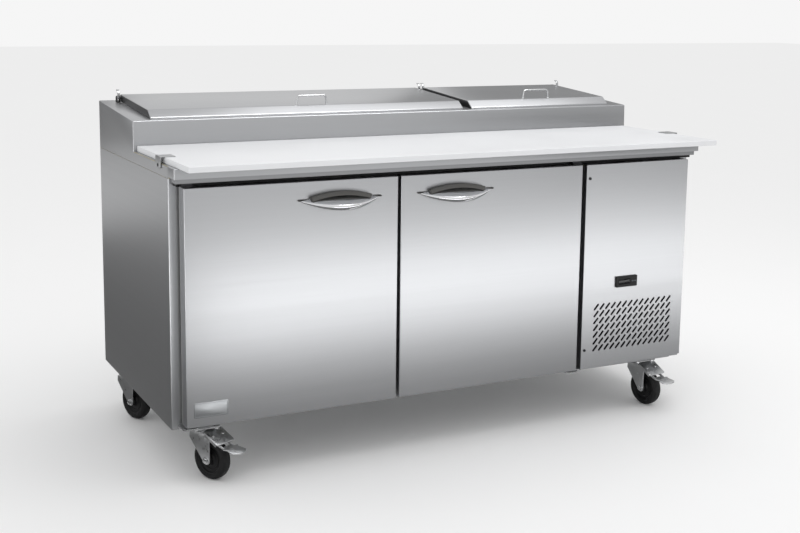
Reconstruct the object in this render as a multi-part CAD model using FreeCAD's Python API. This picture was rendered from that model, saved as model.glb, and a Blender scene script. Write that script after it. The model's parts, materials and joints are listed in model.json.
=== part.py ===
"""Two-door sandwich and pizza prep table: a stainless refrigerated cabinet on casters.

Frame: +Z up, origin on the floor at the middle of the bounding box, doors facing -Y.
All lengths in millimetres. Each piece of the table is one node, written to its own STEP.
"""
import FreeCAD, Part
import math
import os

V = FreeCAD.Vector

# ---- driving dimensions: cabinet ----------------------------------------------------
WIDTH = 1800.0                   # side panel to side panel
HALF = WIDTH / 2
DOOR_FRONT = -367.0              # front face of the doors
BODY_FRONT = DOOR_FRONT + 60     # face of the cabinet frame that the gaskets meet
BACK = 465.0
SHEET = 1.5                      # stainless sheet
BASE_Z = 155.0                   # underside of the cabinet
SEAM_Z = 871.0                   # lower side panel meets the upper side skin
APRON_Z = 875.0
DECK_Z = 905.0                   # top of the work deck, where the board lies
APRON_FRONT = DOOR_FRONT + 1

# ---- raised pan rail ----------------------------------------------------------------
RAIL_FRONT = 49.0
RAIL_FRONT_Z = 996.0
RAIL_BACK_Z = 1025.0
SLOPE = math.atan((RAIL_BACK_Z - RAIL_FRONT_Z) / (BACK - RAIL_FRONT))
RAIL_LENGTH = (BACK - RAIL_FRONT) / math.cos(SLOPE)
PAN_PITCH = 178.0                # third-size pans, 176 mm wide
PAN_WIDTH = 176.0
PAN_LENGTH = 325.0
PAN_DEPTH = 150.0
PAN_RIM = 11.0
PAN_WALL = 0.9
PAN_START = 32.0                 # front of the pan rims, measured up the slope
BAYS = {"left": (-834.0, 6), "right": (291.0, 3)}

# ---- cold store ---------------------------------------------------------------------
STORE_X0, STORE_X1 = -842.0, 398.0
STORE_BACK = 415.0
STORE_Z0, STORE_Z1 = 210.0, 838.0
WELL_X = 850.0
WELL_Y0, WELL_Y1 = 70.0, 440.0
WELL_FLOOR = 815.0
WALL_X = 440.0                   # outer face of the wall between store and machinery
GLAND_X, GLAND_Z, GLAND_BORE_R, GLAND_NECK_R = 480.0, 230.0, 5.5, 8.9
MULLION = (-262.0, -178.0)
OPENING_Z0, OPENING_Z1 = 210.0, 814.0

# ---- doors and service panel --------------------------------------------------------
DOOR_Z0, DOOR_Z1 = 174.0, 850.0
DOOR_DEPTH = 48.0
SKIN = 1.2
GASKET_INSET = 18.0
GASKET_WIDTH = 16.0
GASKET_DEPTH = 11.6
HINGE_IN = 13.0                  # hinge pin from the door's edge
HINGE_BACK = 24.0                # hinge pin behind the door's front
PIN_R = 5.0
FIT = 0.05                       # radial running clearance
DOORS = {"left": (-874.0, -225.0, -874.0 + HINGE_IN), "right": (-215.0, 432.0, 432.0 - HINGE_IN)}
HANDLE_X = {"left": -412.0, "right": -31.0}
HANDLE_LENGTH = 262.0
HANDLE_Z = 800.0
HANDLE_REACH, HANDLE_T = 44.0, 4.0
HANDLE_RISE, HANDLE_DROP = 14.0, 33.0    # above and below the tabs, at the middle
HANDLE_TAB = 20.0
PANEL_X0, PANEL_X1 = 448.0, 856.0
PANEL_DEPTH = 54.0
PANEL_PIVOT = (848.0, DOOR_FRONT + 42)
CONTROL = (618.0, 456.0, 84.0, 36.0)     # middle x, middle z, width, height
BUTTON_X = (640.0, 647.0, 654.0)
BUTTON_R = 2.4
GRILLE_X0, GRILLE_Z1 = 503.0, 379.0
GRILLE_COLUMNS, GRILLE_ROWS = 14, 7
GRILLE_PITCH_X, GRILLE_PITCH_Z = 22.7, 23.0
SLOT_LENGTH, SLOT_WIDTH, SLOT_ANGLE = 26.5, 7.4, 48.0

# ---- board and lids -----------------------------------------------------------------
BOARD_X, BOARD_T = 890.0, 17.0
BOARD_FRONT, BOARD_BACK = -465.0, RAIL_FRONT - 7
LIDS = {"left": (-840.0, 240.0), "right": (272.0, 840.0)}
LID_START, LID_END = 24.0, 381.0
LID_LIFT, LID_HEIGHT = 1.0, 23.0
LID_SLANT, LID_LIP = 31.0, 3.0   # run of the slanted front, height of its upright lip
LID_PIVOT = (373.0, 12.5)        # up the slope, above the slope
LID_PIN_R = 3.0
LID_HEEL = (13.0, 10.0)          # corner cut off the flanges, so that they clear the rail
LID_GRIP_HALF, LID_GRIP_REACH, LID_GRIP_R, LID_GRIP_BEND = 52.0, 29.0, 3.0, 9.0
LID_GRIP_Y = LID_START + LID_SLANT + 12
CLIP_Y, CLIP_Z, CLIP_REACH = (-247.0, -199.0), 891.0, 31.5
EAR_NEAR, EAR_FAR, EAR_Z = 2.0, 14.0, 20.0  # sideways from a lid's end, height of the block

# ---- casters ------------------------------------------------------------------------
# middle of each, and the rest heading of its wheel about +Z
CASTERS = {"front_left": (-803.0, -290.0, -62.0), "front_right": (758.0, -277.0, -82.0),
           "rear_left": (-857.0, 315.0, -68.0), "rear_right": (857.0, 315.0, -68.0)}
BRAKED = ("front_left", "front_right")
WHEEL_R, WHEEL_W = 60.0, 34.0
TRAIL = 34.0
AXLE_R = 6.0
KINGPIN_R = 6.0
CROWN_Z = 134.0
LEG_IN, LEG_T = 22.0, 4.0
PEDAL_PIVOT = (26.0, 127.0)      # along the heading, above the floor
PEDAL_END = (98.0, 106.0)        # where the pedal's arms meet its tread
HOOD_TOP, HOOD_LOW = (30.0, 147.5), (88.0, 117.0)
HOOD_HALF, HOOD_T, HOOD_SKIRT = 35.0, 3.0, 9.0
PLATE, PLATE_T, BOLT = 80.0, 4.0, 29.0

NODES = {}


def box(x0, x1, y0, y1, z0, z1):
    """Box between two corners."""
    return Part.makeBox(x1 - x0, y1 - y0, z1 - z0, V(x0, y0, z0))


def rod(start, end, radius):
    """Round bar from one point to another."""
    a, b = V(*start), V(*end)
    return Part.makeCylinder(radius, (b - a).Length, a, b - a)


def fuse(shapes):
    """Join solids into one."""
    return shapes[0].multiFuse(list(shapes[1:])).removeSplitter()


def prism(points, direction):
    """Closed polygon pushed along a direction."""
    wire = Part.makePolygon([V(*p) for p in points] + [V(*points[0])])
    return Part.Face(wire).extrude(V(*direction))


def up_slope(shape):
    """Carry a shape drawn on a level rail (origin at its front edge) onto the sloped one."""
    moved = shape.copy()
    moved.rotate(V(0, 0, 0), V(1, 0, 0), math.degrees(SLOPE))
    moved.translate(V(0, RAIL_FRONT, RAIL_FRONT_Z))
    return moved


def above_rail(drop):
    """Everything above the rail's sloped top, for trimming."""
    return up_slope(box(-HALF - 50, HALF + 50, -900, 900, -drop, 400))


def mirrored(shape):
    """The same piece on the other side of the middle plane."""
    return shape.mirror(V(0, 0, 0), V(1, 0, 0))


# ---- cabinet shell ------------------------------------------------------------------
def side_skin():
    """Left side panel: one sheet with a return flange at the front and the back."""
    side = box(-HALF, -HALF + SHEET, BODY_FRONT, BACK, BASE_Z, SEAM_Z)
    front = box(-HALF, -HALF + 34, BODY_FRONT, BODY_FRONT + SHEET, BASE_Z, SEAM_Z)
    rear = box(-HALF, -HALF + 20, BACK - SHEET, BACK, BASE_Z, SEAM_Z)
    return fuse([side, front, rear])


def back_panel():
    """Rear sheet with a block of vent slots behind the machinery."""
    sheet = box(-HALF + 21, HALF - 21, BACK - SHEET, BACK, BASE_Z, SEAM_Z)
    slots = [box(520, 820, BACK - 5, BACK + 5, z, z + 8) for z in range(240, 480, 24)]
    gland = rod((GLAND_X, BACK - 10, GLAND_Z), (GLAND_X, BACK + 10, GLAND_Z), GLAND_NECK_R + 0.1)
    return sheet.cut(Part.makeCompound(slots + [gland]))


def base_panel():
    """Bottom sheet between the two side panels."""
    return box(-HALF + 2, HALF - 2, BODY_FRONT + SHEET + 0.1, BACK - 2, BASE_Z, BASE_Z + SHEET)


def front_frame():
    """Face frame round the two door openings, with the hollow post between them."""
    face = box(-HALF + 35, PANEL_X0 - 6, BODY_FRONT, BODY_FRONT + SHEET, BASE_Z + 2, SEAM_Z - 1)
    post = box(MULLION[0], MULLION[1], BODY_FRONT, BODY_FRONT + 40, OPENING_Z0 + 1, OPENING_Z1 - 1)
    left = box(STORE_X0 + 6, MULLION[0], BODY_FRONT - 5, BODY_FRONT + 5, OPENING_Z0, OPENING_Z1)
    right = box(MULLION[1], STORE_X1 - 2, BODY_FRONT - 5, BODY_FRONT + 5, OPENING_Z0, OPENING_Z1)
    return fuse([face.cut(left).cut(right), post])


def machine_wall():
    """Sheet that closes the insulated wall beside the machinery, and its ceiling."""
    wall = box(WALL_X, WALL_X + SHEET, BODY_FRONT + 2, BACK - 2, BASE_Z + 2, WELL_FLOOR - 36)
    ceiling = box(WALL_X, HALF - 2, RAIL_FRONT, BACK - 2, WELL_FLOOR - 36, WELL_FLOOR - 36 + SHEET)
    return fuse([wall, ceiling])


def foam_core():
    """Insulation boards of the store, the deck and the pan well."""
    side, front, back = HALF - SHEET, BODY_FRONT + SHEET, BACK - SHEET
    low, rail, top = BASE_Z + SHEET, RAIL_FRONT + SHEET, RAIL_BACK_Z + 10
    deck = DECK_Z - SHEET - 0.1
    boards = [box(-side, STORE_X0, front, back, low, WELL_FLOOR),
              box(STORE_X1, WALL_X, front, back, low, WELL_FLOOR),
              box(STORE_X0, STORE_X1, front, back, low, STORE_Z0),
              box(STORE_X0, STORE_X1, STORE_BACK, back, STORE_Z0, WELL_FLOOR),
              box(-side, STORE_X0, front, WELL_Y0, WELL_FLOOR, STORE_Z1),
              box(STORE_X1, WALL_X, front, rail, WELL_FLOOR, STORE_Z1),
              box(STORE_X1, side, rail, WELL_Y0, WELL_FLOOR, STORE_Z1),
              box(WALL_X, side, rail, back, WELL_FLOOR - 34.5, WELL_FLOOR),
              box(-side, WALL_X, front, rail, STORE_Z1, deck),
              box(WALL_X, side, front, rail, SEAM_Z - 1, deck),
              box(-side, side, rail, WELL_Y0, STORE_Z1, top),
              box(-side, side, WELL_Y1, back, WELL_FLOOR, top),
              box(-side, -WELL_X, WELL_Y0, WELL_Y1, WELL_FLOOR, top),
              box(WELL_X, side, WELL_Y0, WELL_Y1, WELL_FLOOR, top)]
    return Part.makeCompound([board.cut(above_rail(SHEET)) for board in boards])


def store_space(lining):
    """Inside of the cold store, less the lining's thickness."""
    t = lining
    return box(STORE_X0 + t, STORE_X1 - t, BODY_FRONT - 60, STORE_BACK - t, STORE_Z0 + t, STORE_Z1 - t)


def well_space(lining):
    """Inside of the pan well, less the lining's thickness."""
    t = lining
    return box(-WELL_X + t, WELL_X - t, WELL_Y0 + t, WELL_Y1 - t, WELL_FLOOR + t, RAIL_BACK_Z + 20)


def cabinet_liner():
    """Thin lining of the store and the pan well."""
    outer = fuse([store_space(0), well_space(0)])
    inner = fuse([store_space(1.0), well_space(1.0)])
    front = box(-HALF, HALF, BODY_FRONT - 100, BODY_FRONT + SHEET, 0, RAIL_BACK_Z)
    return outer.cut(inner).cut(front).cut(above_rail(SHEET + 0.1))


# ---- deck, strips and pan rail ------------------------------------------------------
def work_deck():
    """Top sheet of the work deck folded down into an apron at the front and the ends."""
    top = box(-HALF, HALF, APRON_FRONT, RAIL_FRONT - 0.2, DECK_Z - SHEET, DECK_Z)
    front = box(-HALF, HALF, APRON_FRONT, APRON_FRONT + SHEET, APRON_Z, DECK_Z)
    hem = box(-HALF, HALF, APRON_FRONT, APRON_FRONT + 14, APRON_Z, APRON_Z + SHEET)
    ends = [box(s * HALF - (SHEET if s > 0 else 0), s * HALF + (0 if s > 0 else SHEET),
                APRON_FRONT, BODY_FRONT, APRON_Z, DECK_Z) for s in (-1, 1)]
    return fuse([top, front, hem] + ends)


def header_strip():
    """Folded strip under the apron."""
    return box(-HALF + 7, HALF - 7, DOOR_FRONT + 15, BODY_FRONT - 0.3, APRON_Z - 14.5, APRON_Z - 0.3)


def recess_strip():
    """Black filler between the folded strip and the doors."""
    return box(-HALF + 14, HALF - 14, DOOR_FRONT + 29, BODY_FRONT - 0.3, DOOR_Z1 + 1.5, APRON_Z - 14.8)


def rail_side():
    """Upper side skin: deck end and sloped rail end in one sheet, at the left."""
    outline = [(-HALF, BODY_FRONT, SEAM_Z + 1), (-HALF, BODY_FRONT, DECK_Z - SHEET - 0.1),
               (-HALF, RAIL_FRONT, DECK_Z - SHEET - 0.1), (-HALF, RAIL_FRONT, RAIL_FRONT_Z + 5),
               (-HALF, BACK, RAIL_BACK_Z + 5), (-HALF, BACK, SEAM_Z + 1)]
    return prism(outline, (SHEET, 0, 0))


def rail_housing():
    """Skin of the raised rail: front, back and both ends."""
    front = box(-HALF, HALF, RAIL_FRONT, RAIL_FRONT + SHEET, DECK_Z - SHEET - 0.1, RAIL_BACK_Z)
    rear = box(-HALF, HALF, BACK - SHEET, BACK, SEAM_Z + 1, RAIL_BACK_Z + 5)
    shell = fuse([front, rear, rail_side(), mirrored(rail_side())])
    return shell.cut(above_rail(SHEET))


def bay_opening(name, height):
    """Cut-out of one bay of pans, drawn on the level rail."""
    start, count = BAYS[name]
    return box(start + 5, start + count * PAN_PITCH - 7, PAN_START + 6,
               PAN_START + PAN_LENGTH - 6, -height, height)


def rail_top_frame():
    """Sloped top sheet with a folded-down lip round each bay."""
    sheet = box(-HALF, HALF, 0, RAIL_LENGTH, -SHEET, 0)
    lips = []
    for name, (start, count) in BAYS.items():
        lips.append(box(start + 3.5, start + count * PAN_PITCH - 5.5, PAN_START + 4.5,
                        PAN_START + PAN_LENGTH - 4.5, -14, -SHEET))
    frame = fuse([sheet] + lips)
    return up_slope(frame.cut(bay_opening("left", 30)).cut(bay_opening("right", 30)))


def pan_divider_bars():
    """Channel bars that cross the bays between neighbouring pans."""
    bars = []
    for start, count in BAYS.values():
        for i in range(1, count):
            x = start + i * PAN_PITCH - 1
            bars.append(up_slope(box(x - 8, x + 8, PAN_START + 6.3, PAN_START + PAN_LENGTH - 6.3,
                                     -9, -1.2)))
    return Part.makeCompound(bars)


def pan(start_x):
    """Third-size pan: tapered well under a flat rim, drawn on the level rail."""
    x0, x1 = start_x, start_x + PAN_WIDTH
    y0, y1 = PAN_START, PAN_START + PAN_LENGTH
    rim = box(x0, x1, y0, y1, 0.3, 0.3 + PAN_WALL)

    def well(grow):
        top = Part.makePolygon([V(x0 + PAN_RIM - grow, y0 + PAN_RIM - grow, 0.3),
                                V(x1 - PAN_RIM + grow, y0 + PAN_RIM - grow, 0.3),
                                V(x1 - PAN_RIM + grow, y1 - PAN_RIM + grow, 0.3),
                                V(x0 + PAN_RIM - grow, y1 - PAN_RIM + grow, 0.3),
                                V(x0 + PAN_RIM - grow, y0 + PAN_RIM - grow, 0.3)])
        low = PAN_RIM + 9 - grow
        z = -PAN_DEPTH + (PAN_WALL - grow)
        bottom = Part.makePolygon([V(x0 + low, y0 + low, z), V(x1 - low, y0 + low, z),
                                   V(x1 - low, y1 - low, z), V(x0 + low, y1 - low, z),
                                   V(x0 + low, y0 + low, z)])
        return Part.makeLoft([top, bottom], True, True)

    inner = well(0)
    mouth = box(x0 + PAN_RIM, x1 - PAN_RIM, y0 + PAN_RIM, y1 - PAN_RIM, 0.2, 5)
    return fuse([rim, well(PAN_WALL)]).cut(inner).cut(mouth)


def bay_pans(name):
    """All pans of one bay."""
    start, count = BAYS[name]
    return Part.makeCompound([up_slope(pan(start + i * PAN_PITCH)) for i in range(count)])


# ---- lids ---------------------------------------------------------------------------
def lid(name):
    """Folded lid: flat top, slanted front, side flanges with pin holes at the back."""
    x0, x1 = LIDS[name]
    low, top = LID_LIFT, LID_LIFT + LID_HEIGHT

    def solid(inset):
        y0, y1, t = LID_START + inset, LID_END - inset, inset
        outline = [(x0 + t, y0, low - t), (x0 + t, y0, low + LID_LIP), (x0 + t, y0 + LID_SLANT, top - t),
                   (x0 + t, y1, top - t), (x0 + t, y1, low - t)]
        return prism(outline, (x1 - x0 - 2 * t, 0, 0))

    run, rise = LID_HEEL
    corner = [(LID_END + 1, low - 1), (LID_END + 1, low + rise), (LID_END - run, low - 1)]
    heel = prism([(x0 - 1, y, z) for y, z in corner], (x1 - x0 + 2, 0, 0))
    shell = solid(0).cut(solid(SHEET)).cut(heel)
    holes = [rod((x - 5, *LID_PIVOT), (x + 5, *LID_PIVOT), LID_PIN_R + FIT) for x in (x0, x1)]
    return up_slope(shell.cut(Part.makeCompound(holes)))


def lid_handle(name):
    """Bent rod handle welded near the lid's front edge."""
    x = sum(LIDS[name]) / 2
    foot, top, y = LID_LIFT + LID_HEIGHT, LID_LIFT + LID_HEIGHT + LID_GRIP_REACH, LID_GRIP_Y
    half, r, bend = LID_GRIP_HALF, LID_GRIP_R, LID_GRIP_BEND
    sides = [rod((x + s * half, y, foot), (x + s * half, y, top - bend), r) for s in (-1, 1)]
    bar = rod((x - half + bend, y, top), (x + half - bend, y, top), r)
    corners = []
    for s in (-1, 1):
        near, far = x + s * (half - bend), x + s * (half + bend)
        ring = Part.makeTorus(bend, r, V(near, y, top - bend), V(0, 1, 0))
        keep = box(min(near, far), max(near, far), y - bend, y + bend, top - bend, top + bend)
        corners.append(ring.common(keep))
    return up_slope(fuse(sides + [bar] + corners))


def lid_hinge_brackets():
    """Upright hinge ears at the ends of both lids, each with its pin."""
    ears = []
    y, z = LID_PIVOT
    for x0, x1 in LIDS.values():
        for x, s in ((x0, -1), (x1, 1)):
            low, high = sorted((x + s * EAR_NEAR, x + s * EAR_FAR))
            block = box(low, high, y - 9, y + 11, 0.3, EAR_Z)
            hook = prism([(low, y - 7, EAR_Z - 2), (low, y - 7, 30), (low, y - 4, 36), (low, y + 2, 40),
                          (low, y + 11, 40), (low, y + 11, 36), (low, y + 3, 36), (low, y - 1, 33),
                          (low, y - 3, 29), (low, y - 3, EAR_Z - 2)], (high - low, 0, 0))
            pin = rod((x + s * EAR_NEAR, y, z), (x - s * 4, y, z), LID_PIN_R)
            ears.append(up_slope(fuse([block, hook, pin])))
    return Part.makeCompound(ears)


# ---- board --------------------------------------------------------------------------
def cutting_board():
    """Plain board with eased edges."""
    slab = box(-BOARD_X, BOARD_X, BOARD_FRONT, BOARD_BACK, DECK_Z + 0.1, DECK_Z + BOARD_T)
    return slab.makeFillet(2.0, slab.Edges)


def board_clips():
    """Folded clips screwed to the deck ends, reaching over the board's ends."""
    (y0, y1), top = CLIP_Y, DECK_Z + BOARD_T
    leg = box(-HALF - 3, -HALF - SHEET, y0, y1, CLIP_Z, top + 2.3)
    tab = box(-HALF - 3, -BOARD_X + CLIP_REACH, y0, y1, top + 0.4, top + 2.3)
    spacer = box(-HALF - SHEET, -HALF - 0.05, y0 + 4, y1 - 4, CLIP_Z, DECK_Z - 4)
    middle = (y0 + y1) / 2
    screw = rod((-HALF - 5.2, middle, CLIP_Z + 8), (-HALF - 3, middle, CLIP_Z + 8), 4.5)
    left = fuse([leg, tab, spacer, screw])
    return Part.makeCompound([left, mirrored(left)])


# ---- doors --------------------------------------------------------------------------
def door_skin(side):
    """Outer door pan: front sheet and four return flanges."""
    x0, x1, _ = DOORS[side]
    outer = box(x0, x1, DOOR_FRONT, DOOR_FRONT + DOOR_DEPTH - 6, DOOR_Z0, DOOR_Z1)
    outer = outer.makeFillet(2.5, [e for e in outer.Edges if is_front_edge(e)])
    inner = box(x0 + SKIN, x1 - SKIN, DOOR_FRONT + SKIN, DOOR_FRONT + 90, DOOR_Z0 + SKIN, DOOR_Z1 - SKIN)
    return outer.cut(inner).cut(hinge_holes(side))


def is_front_edge(edge):
    """True for an edge that lies in the doors' front plane."""
    return edge.BoundBox.YMax < DOOR_FRONT + 0.01


def hinge_holes(side):
    """Bores for the two hinge pins of one door."""
    x, y = DOORS[side][2], DOOR_FRONT + HINGE_BACK
    low = rod((x, y, DOOR_Z0 - 3), (x, y, DOOR_Z0 + 18), PIN_R + FIT)
    high = rod((x, y, DOOR_Z1 - 18), (x, y, DOOR_Z1 + 3), PIN_R + FIT)
    return Part.makeCompound([low, high])


def door_inner_panel(side):
    """Insulated inner panel with a raised field inside the gasket."""
    x0, x1, _ = DOORS[side]
    back = DOOR_FRONT + DOOR_DEPTH
    clear = SKIN + 0.1
    slab = box(x0 + clear, x1 - clear, DOOR_FRONT + clear, back, DOOR_Z0 + clear, DOOR_Z1 - clear)
    inset = GASKET_INSET + GASKET_WIDTH + 14
    field = box(x0 + inset, x1 - inset, back - 1, back + 16, DOOR_Z0 + inset, DOOR_Z1 - inset)
    field = field.makeFillet(6.0, [e for e in field.Edges if e.BoundBox.YMin > back + 15.9])
    return fuse([slab, field]).cut(hinge_holes(side))


def door_gasket(side):
    """Magnetic gasket ring."""
    x0, x1, _ = DOORS[side]
    back = DOOR_FRONT + DOOR_DEPTH
    a, b = GASKET_INSET, GASKET_INSET + GASKET_WIDTH
    ring = box(x0 + a, x1 - a, back, back + GASKET_DEPTH, DOOR_Z0 + a, DOOR_Z1 - a)
    return ring.cut(box(x0 + b, x1 - b, back - 5, back + 30, DOOR_Z0 + b, DOOR_Z1 - b))


def door_handle(side):
    """Bow handle: a bent band, tall in the middle and narrow at its two flat tabs."""
    x, half, bow = HANDLE_X[side], HANDLE_LENGTH / 2, HANDLE_LENGTH / 2 - HANDLE_TAB
    skin = DOOR_FRONT - 0.05

    def bent(depth, reach, low):
        ends = [V(x - depth, skin + 2, low), V(x + depth, skin + 2, low)]
        curve = Part.Arc(ends[0], V(x, skin - reach, low), ends[1])
        return Part.Face(Part.Wire([curve.toShape(), Part.makeLine(ends[1], ends[0])]))

    low = HANDLE_Z - HANDLE_DROP
    span = V(0, 0, HANDLE_DROP + HANDLE_RISE)
    band = bent(bow, HANDLE_REACH, low).extrude(span)
    band = band.cut(bent(bow - 8, HANDLE_REACH - HANDLE_T, low).extrude(span))
    outline = handle_outline(x, half)
    band = band.common(Part.Face(outline).extrude(V(0, 200, 0)))
    tabs = [box(min(x + s * (bow - 14), x + s * half), max(x + s * (bow - 14), x + s * half),
                skin - 3, skin, HANDLE_Z - 8, HANDLE_Z + 4) for s in (-1, 1)]
    return fuse([band] + tabs).cut(box(x - 200, x + 200, skin, skin + 20, low - 5, HANDLE_Z + 60))


def handle_outline(x, half):
    """The handle seen from the front: a lens, deeper below than above."""
    y = DOOR_FRONT - 100
    left, right = V(x - half, y, HANDLE_Z - 2), V(x + half, y, HANDLE_Z - 2)
    top = Part.Arc(left, V(x, y, HANDLE_Z + HANDLE_RISE), right).toShape()
    bottom = Part.Arc(right, V(x, y, HANDLE_Z - HANDLE_DROP), left).toShape()
    return Part.Wire([top, bottom])


def hinge_bracket(side, low):
    """Hinge plate with its pin, at the bottom or the top of one door."""
    x, y = DOORS[side][2], DOOR_FRONT + HINGE_BACK
    if low:
        plate = box(x - 21, x + 24, y - 20, BODY_FRONT - 0.3, DOOR_Z0 - 7.5, DOOR_Z0 - 3.5)
        plate = plate.makeFillet(9.0, [e for e in plate.Edges if is_upright(e) and e.BoundBox.YMax < y])
        leaf = box(x - 21, x + 24, BODY_FRONT - 3.3, BODY_FRONT - 0.3, BASE_Z + 1, DOOR_Z0 - 3.5)
        return fuse([plate, leaf, rod((x, y, DOOR_Z0 - 5), (x, y, DOOR_Z0 + 14), PIN_R)])
    plate = box(x - 16, x + 16, y - 14, DOOR_FRONT + 28.5, DOOR_Z1 + 1.5, DOOR_Z1 + 4.5)
    riser = box(x - 16, x + 16, DOOR_FRONT + 16, DOOR_FRONT + 28.5, DOOR_Z1 + 4, APRON_Z - 14.8)
    return fuse([plate, riser, rod((x, y, DOOR_Z1 - 14), (x, y, DOOR_Z1 + 3), PIN_R)])


def is_upright(edge):
    """True for a straight vertical edge."""
    size = edge.BoundBox
    return size.XLength < 0.01 and size.YLength < 0.01


def door_hinge_brackets():
    """The four hinge plates with their pins."""
    return Part.makeCompound([hinge_bracket(side, low) for side in DOORS for low in (True, False)])


# ---- service panel and controller ---------------------------------------------------
def grille_slots():
    """Slanted obround slots of the air grille."""
    slots = []
    half = (SLOT_LENGTH - SLOT_WIDTH) / 2
    y0, y1 = DOOR_FRONT - 5, DOOR_FRONT + 5
    for row in range(GRILLE_ROWS):
        for column in range(GRILLE_COLUMNS):
            x = GRILLE_X0 + column * GRILLE_PITCH_X
            z = GRILLE_Z1 - row * GRILLE_PITCH_Z
            bar = box(-half, half, y0, y1, -SLOT_WIDTH / 2, SLOT_WIDTH / 2)
            ends = [rod((s * half, y0, 0), (s * half, y1, 0), SLOT_WIDTH / 2) for s in (-1, 1)]
            slot = bar.fuse(ends).removeSplitter()
            slot.rotate(V(0, 0, 0), V(0, 1, 0), -SLOT_ANGLE)
            slot.translate(V(x, 0, z))
            slots.append(slot)
    return Part.makeCompound(slots)


def service_panel():
    """Front panel of the machinery: sheet pan with the grille and the controller's cut-out."""
    outer = box(PANEL_X0, PANEL_X1, DOOR_FRONT, DOOR_FRONT + PANEL_DEPTH, DOOR_Z0, DOOR_Z1)
    corner = [e for e in outer.Edges if e.BoundBox.XMin > PANEL_X1 - 0.1 and e.BoundBox.ZMin > DOOR_Z1 - 0.1]
    outer = outer.makeFillet(5.0, corner)
    inner = box(PANEL_X0 + SKIN, PANEL_X1 - SKIN, DOOR_FRONT + SKIN, DOOR_FRONT + 90,
                DOOR_Z0 + SKIN, DOOR_Z1 - SKIN)
    notch = box(PANEL_X1 - 44, PANEL_X1 + 5, DOOR_FRONT - 5, DOOR_FRONT + 90, DOOR_Z0 - 5, DOOR_Z0 + 7)
    x, z, width, height = CONTROL
    cutout = box(x - width / 2 + 3, x + width / 2 - 3, DOOR_FRONT - 5, DOOR_FRONT + 5,
                 z - height / 2 + 3, z + height / 2 - 3)
    corner_cut = box(PANEL_X1 - 44, PANEL_X1, DOOR_FRONT, DOOR_FRONT + PANEL_DEPTH, DOOR_Z0, DOOR_Z0 + 7 + SKIN)
    patch = corner_cut.cut(box(PANEL_X1 - 44 + SKIN, PANEL_X1 - SKIN, DOOR_FRONT + SKIN, DOOR_FRONT + 90,
                               DOOR_Z0, DOOR_Z0 + 7))
    shell = fuse([outer.cut(inner), patch]).cut(notch)
    return shell.cut(grille_slots()).cut(cutout)


def panel_screws():
    """Pan-head screws on the service panel's free edge."""
    heads = []
    for z in (DOOR_Z1 - 45, DOOR_Z0 + 64):
        head = rod((PANEL_X0 + 13, DOOR_FRONT - 2.6, z), (PANEL_X0 + 13, DOOR_FRONT - 0.05, z), 4.5)
        slot = box(PANEL_X0 + 9, PANEL_X0 + 17, DOOR_FRONT - 3, DOOR_FRONT - 1.6, z - 0.6, z + 0.6)
        heads.append(head.cut(slot))
    return Part.makeCompound(heads)


def controller():
    """Digital thermostat: bezel, body behind the panel and bores for its buttons."""
    x, z, width, height = CONTROL
    bezel = box(x - width / 2, x + width / 2, DOOR_FRONT - 6, DOOR_FRONT - 0.05, z - height / 2, z + height / 2)
    bezel = bezel.makeFillet(2.5, [e for e in bezel.Edges if e.BoundBox.YLength > 5])
    body = box(x - width / 2 + 4, x + width / 2 - 4, DOOR_FRONT - 2, DOOR_FRONT + 45,
               z - height / 2 + 4, z + height / 2 - 4)
    window = box(x - 32, x + 14, DOOR_FRONT - 8, DOOR_FRONT - 5.2, z - 9, z + 9)
    bores = [rod((b, DOOR_FRONT - 10, z), (b, DOOR_FRONT - 1, z), BUTTON_R + FIT) for b in BUTTON_X]
    return fuse([bezel, body]).cut(window).cut(Part.makeCompound(bores))


def button(x):
    """Round push button of the controller."""
    z = CONTROL[1]
    return rod((x, DOOR_FRONT - 7, z), (x, DOOR_FRONT - 2.4, z), BUTTON_R)


# ---- inside the store ---------------------------------------------------------------
SHELF_Z = 430.0
SHELVES = {"left": (-818.0, -236.0), "right": (-204.0, 374.0)}
SHELF_Y0, SHELF_Y1 = -236.0, 372.0


def wire_shelf(side):
    """Wire shelf: border, three stiffeners and a row of close wires."""
    x0, x1 = SHELVES[side]
    z = SHELF_Z
    border = box(x0, x1, SHELF_Y0, SHELF_Y1, z - 4, z + 4)
    border = border.cut(box(x0 + 8, x1 - 8, SHELF_Y0 + 8, SHELF_Y1 - 8, z - 9, z + 9))
    count = 18
    step = (x1 - x0 - 8) / (count + 1)
    wires = [box(x0 + 4 + i * step - 1.6, x0 + 4 + i * step + 1.6, SHELF_Y0 + 4, SHELF_Y1 - 4, z + 0.8, z + 4)
             for i in range(1, count + 1)]
    stiff = [box(x0 + 4, x1 - 4, y - 2.5, y + 2.5, z - 4, z + 1) for y in (-90, 68, 226)]
    return fuse([border] + wires + stiff)


def shelf_supports():
    """Slotted pilasters and the clips that carry the shelves."""
    low, high = STORE_Z0 + 20, STORE_Z1 - 60
    clip_z = SHELF_Z - 4.3
    pieces = []
    for x, s in ((STORE_X0 + 1.1, 1), (STORE_X1 - 1.1, -1)):
        for y in (-150.0, 290.0):
            pieces.append(box(min(x, x + s * 6), max(x, x + s * 6), y - 8, y + 8, low, high if s > 0 else 470))
            pieces.append(box(min(x + s * 6.1, x + s * 30), max(x + s * 6.1, x + s * 30), y - 7, y + 7,
                              clip_z - 5, clip_z))
    centre = sum(MULLION) / 2
    pieces.append(box(centre - 12, centre + 12, STORE_BACK - 7, STORE_BACK - 1.1, low, high))
    pieces.append(box(centre - 12, centre + 12, BODY_FRONT + 40.1, BODY_FRONT + 46, low, high))
    pieces.append(box(centre - 26, centre + 26, STORE_BACK - 60, STORE_BACK - 7.1, clip_z - 5, clip_z))
    pieces.append(box(centre - 26, centre + 26, BODY_FRONT + 46.1, BODY_FRONT + 90, clip_z - 5, clip_z))
    return Part.makeCompound(pieces)


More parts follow.
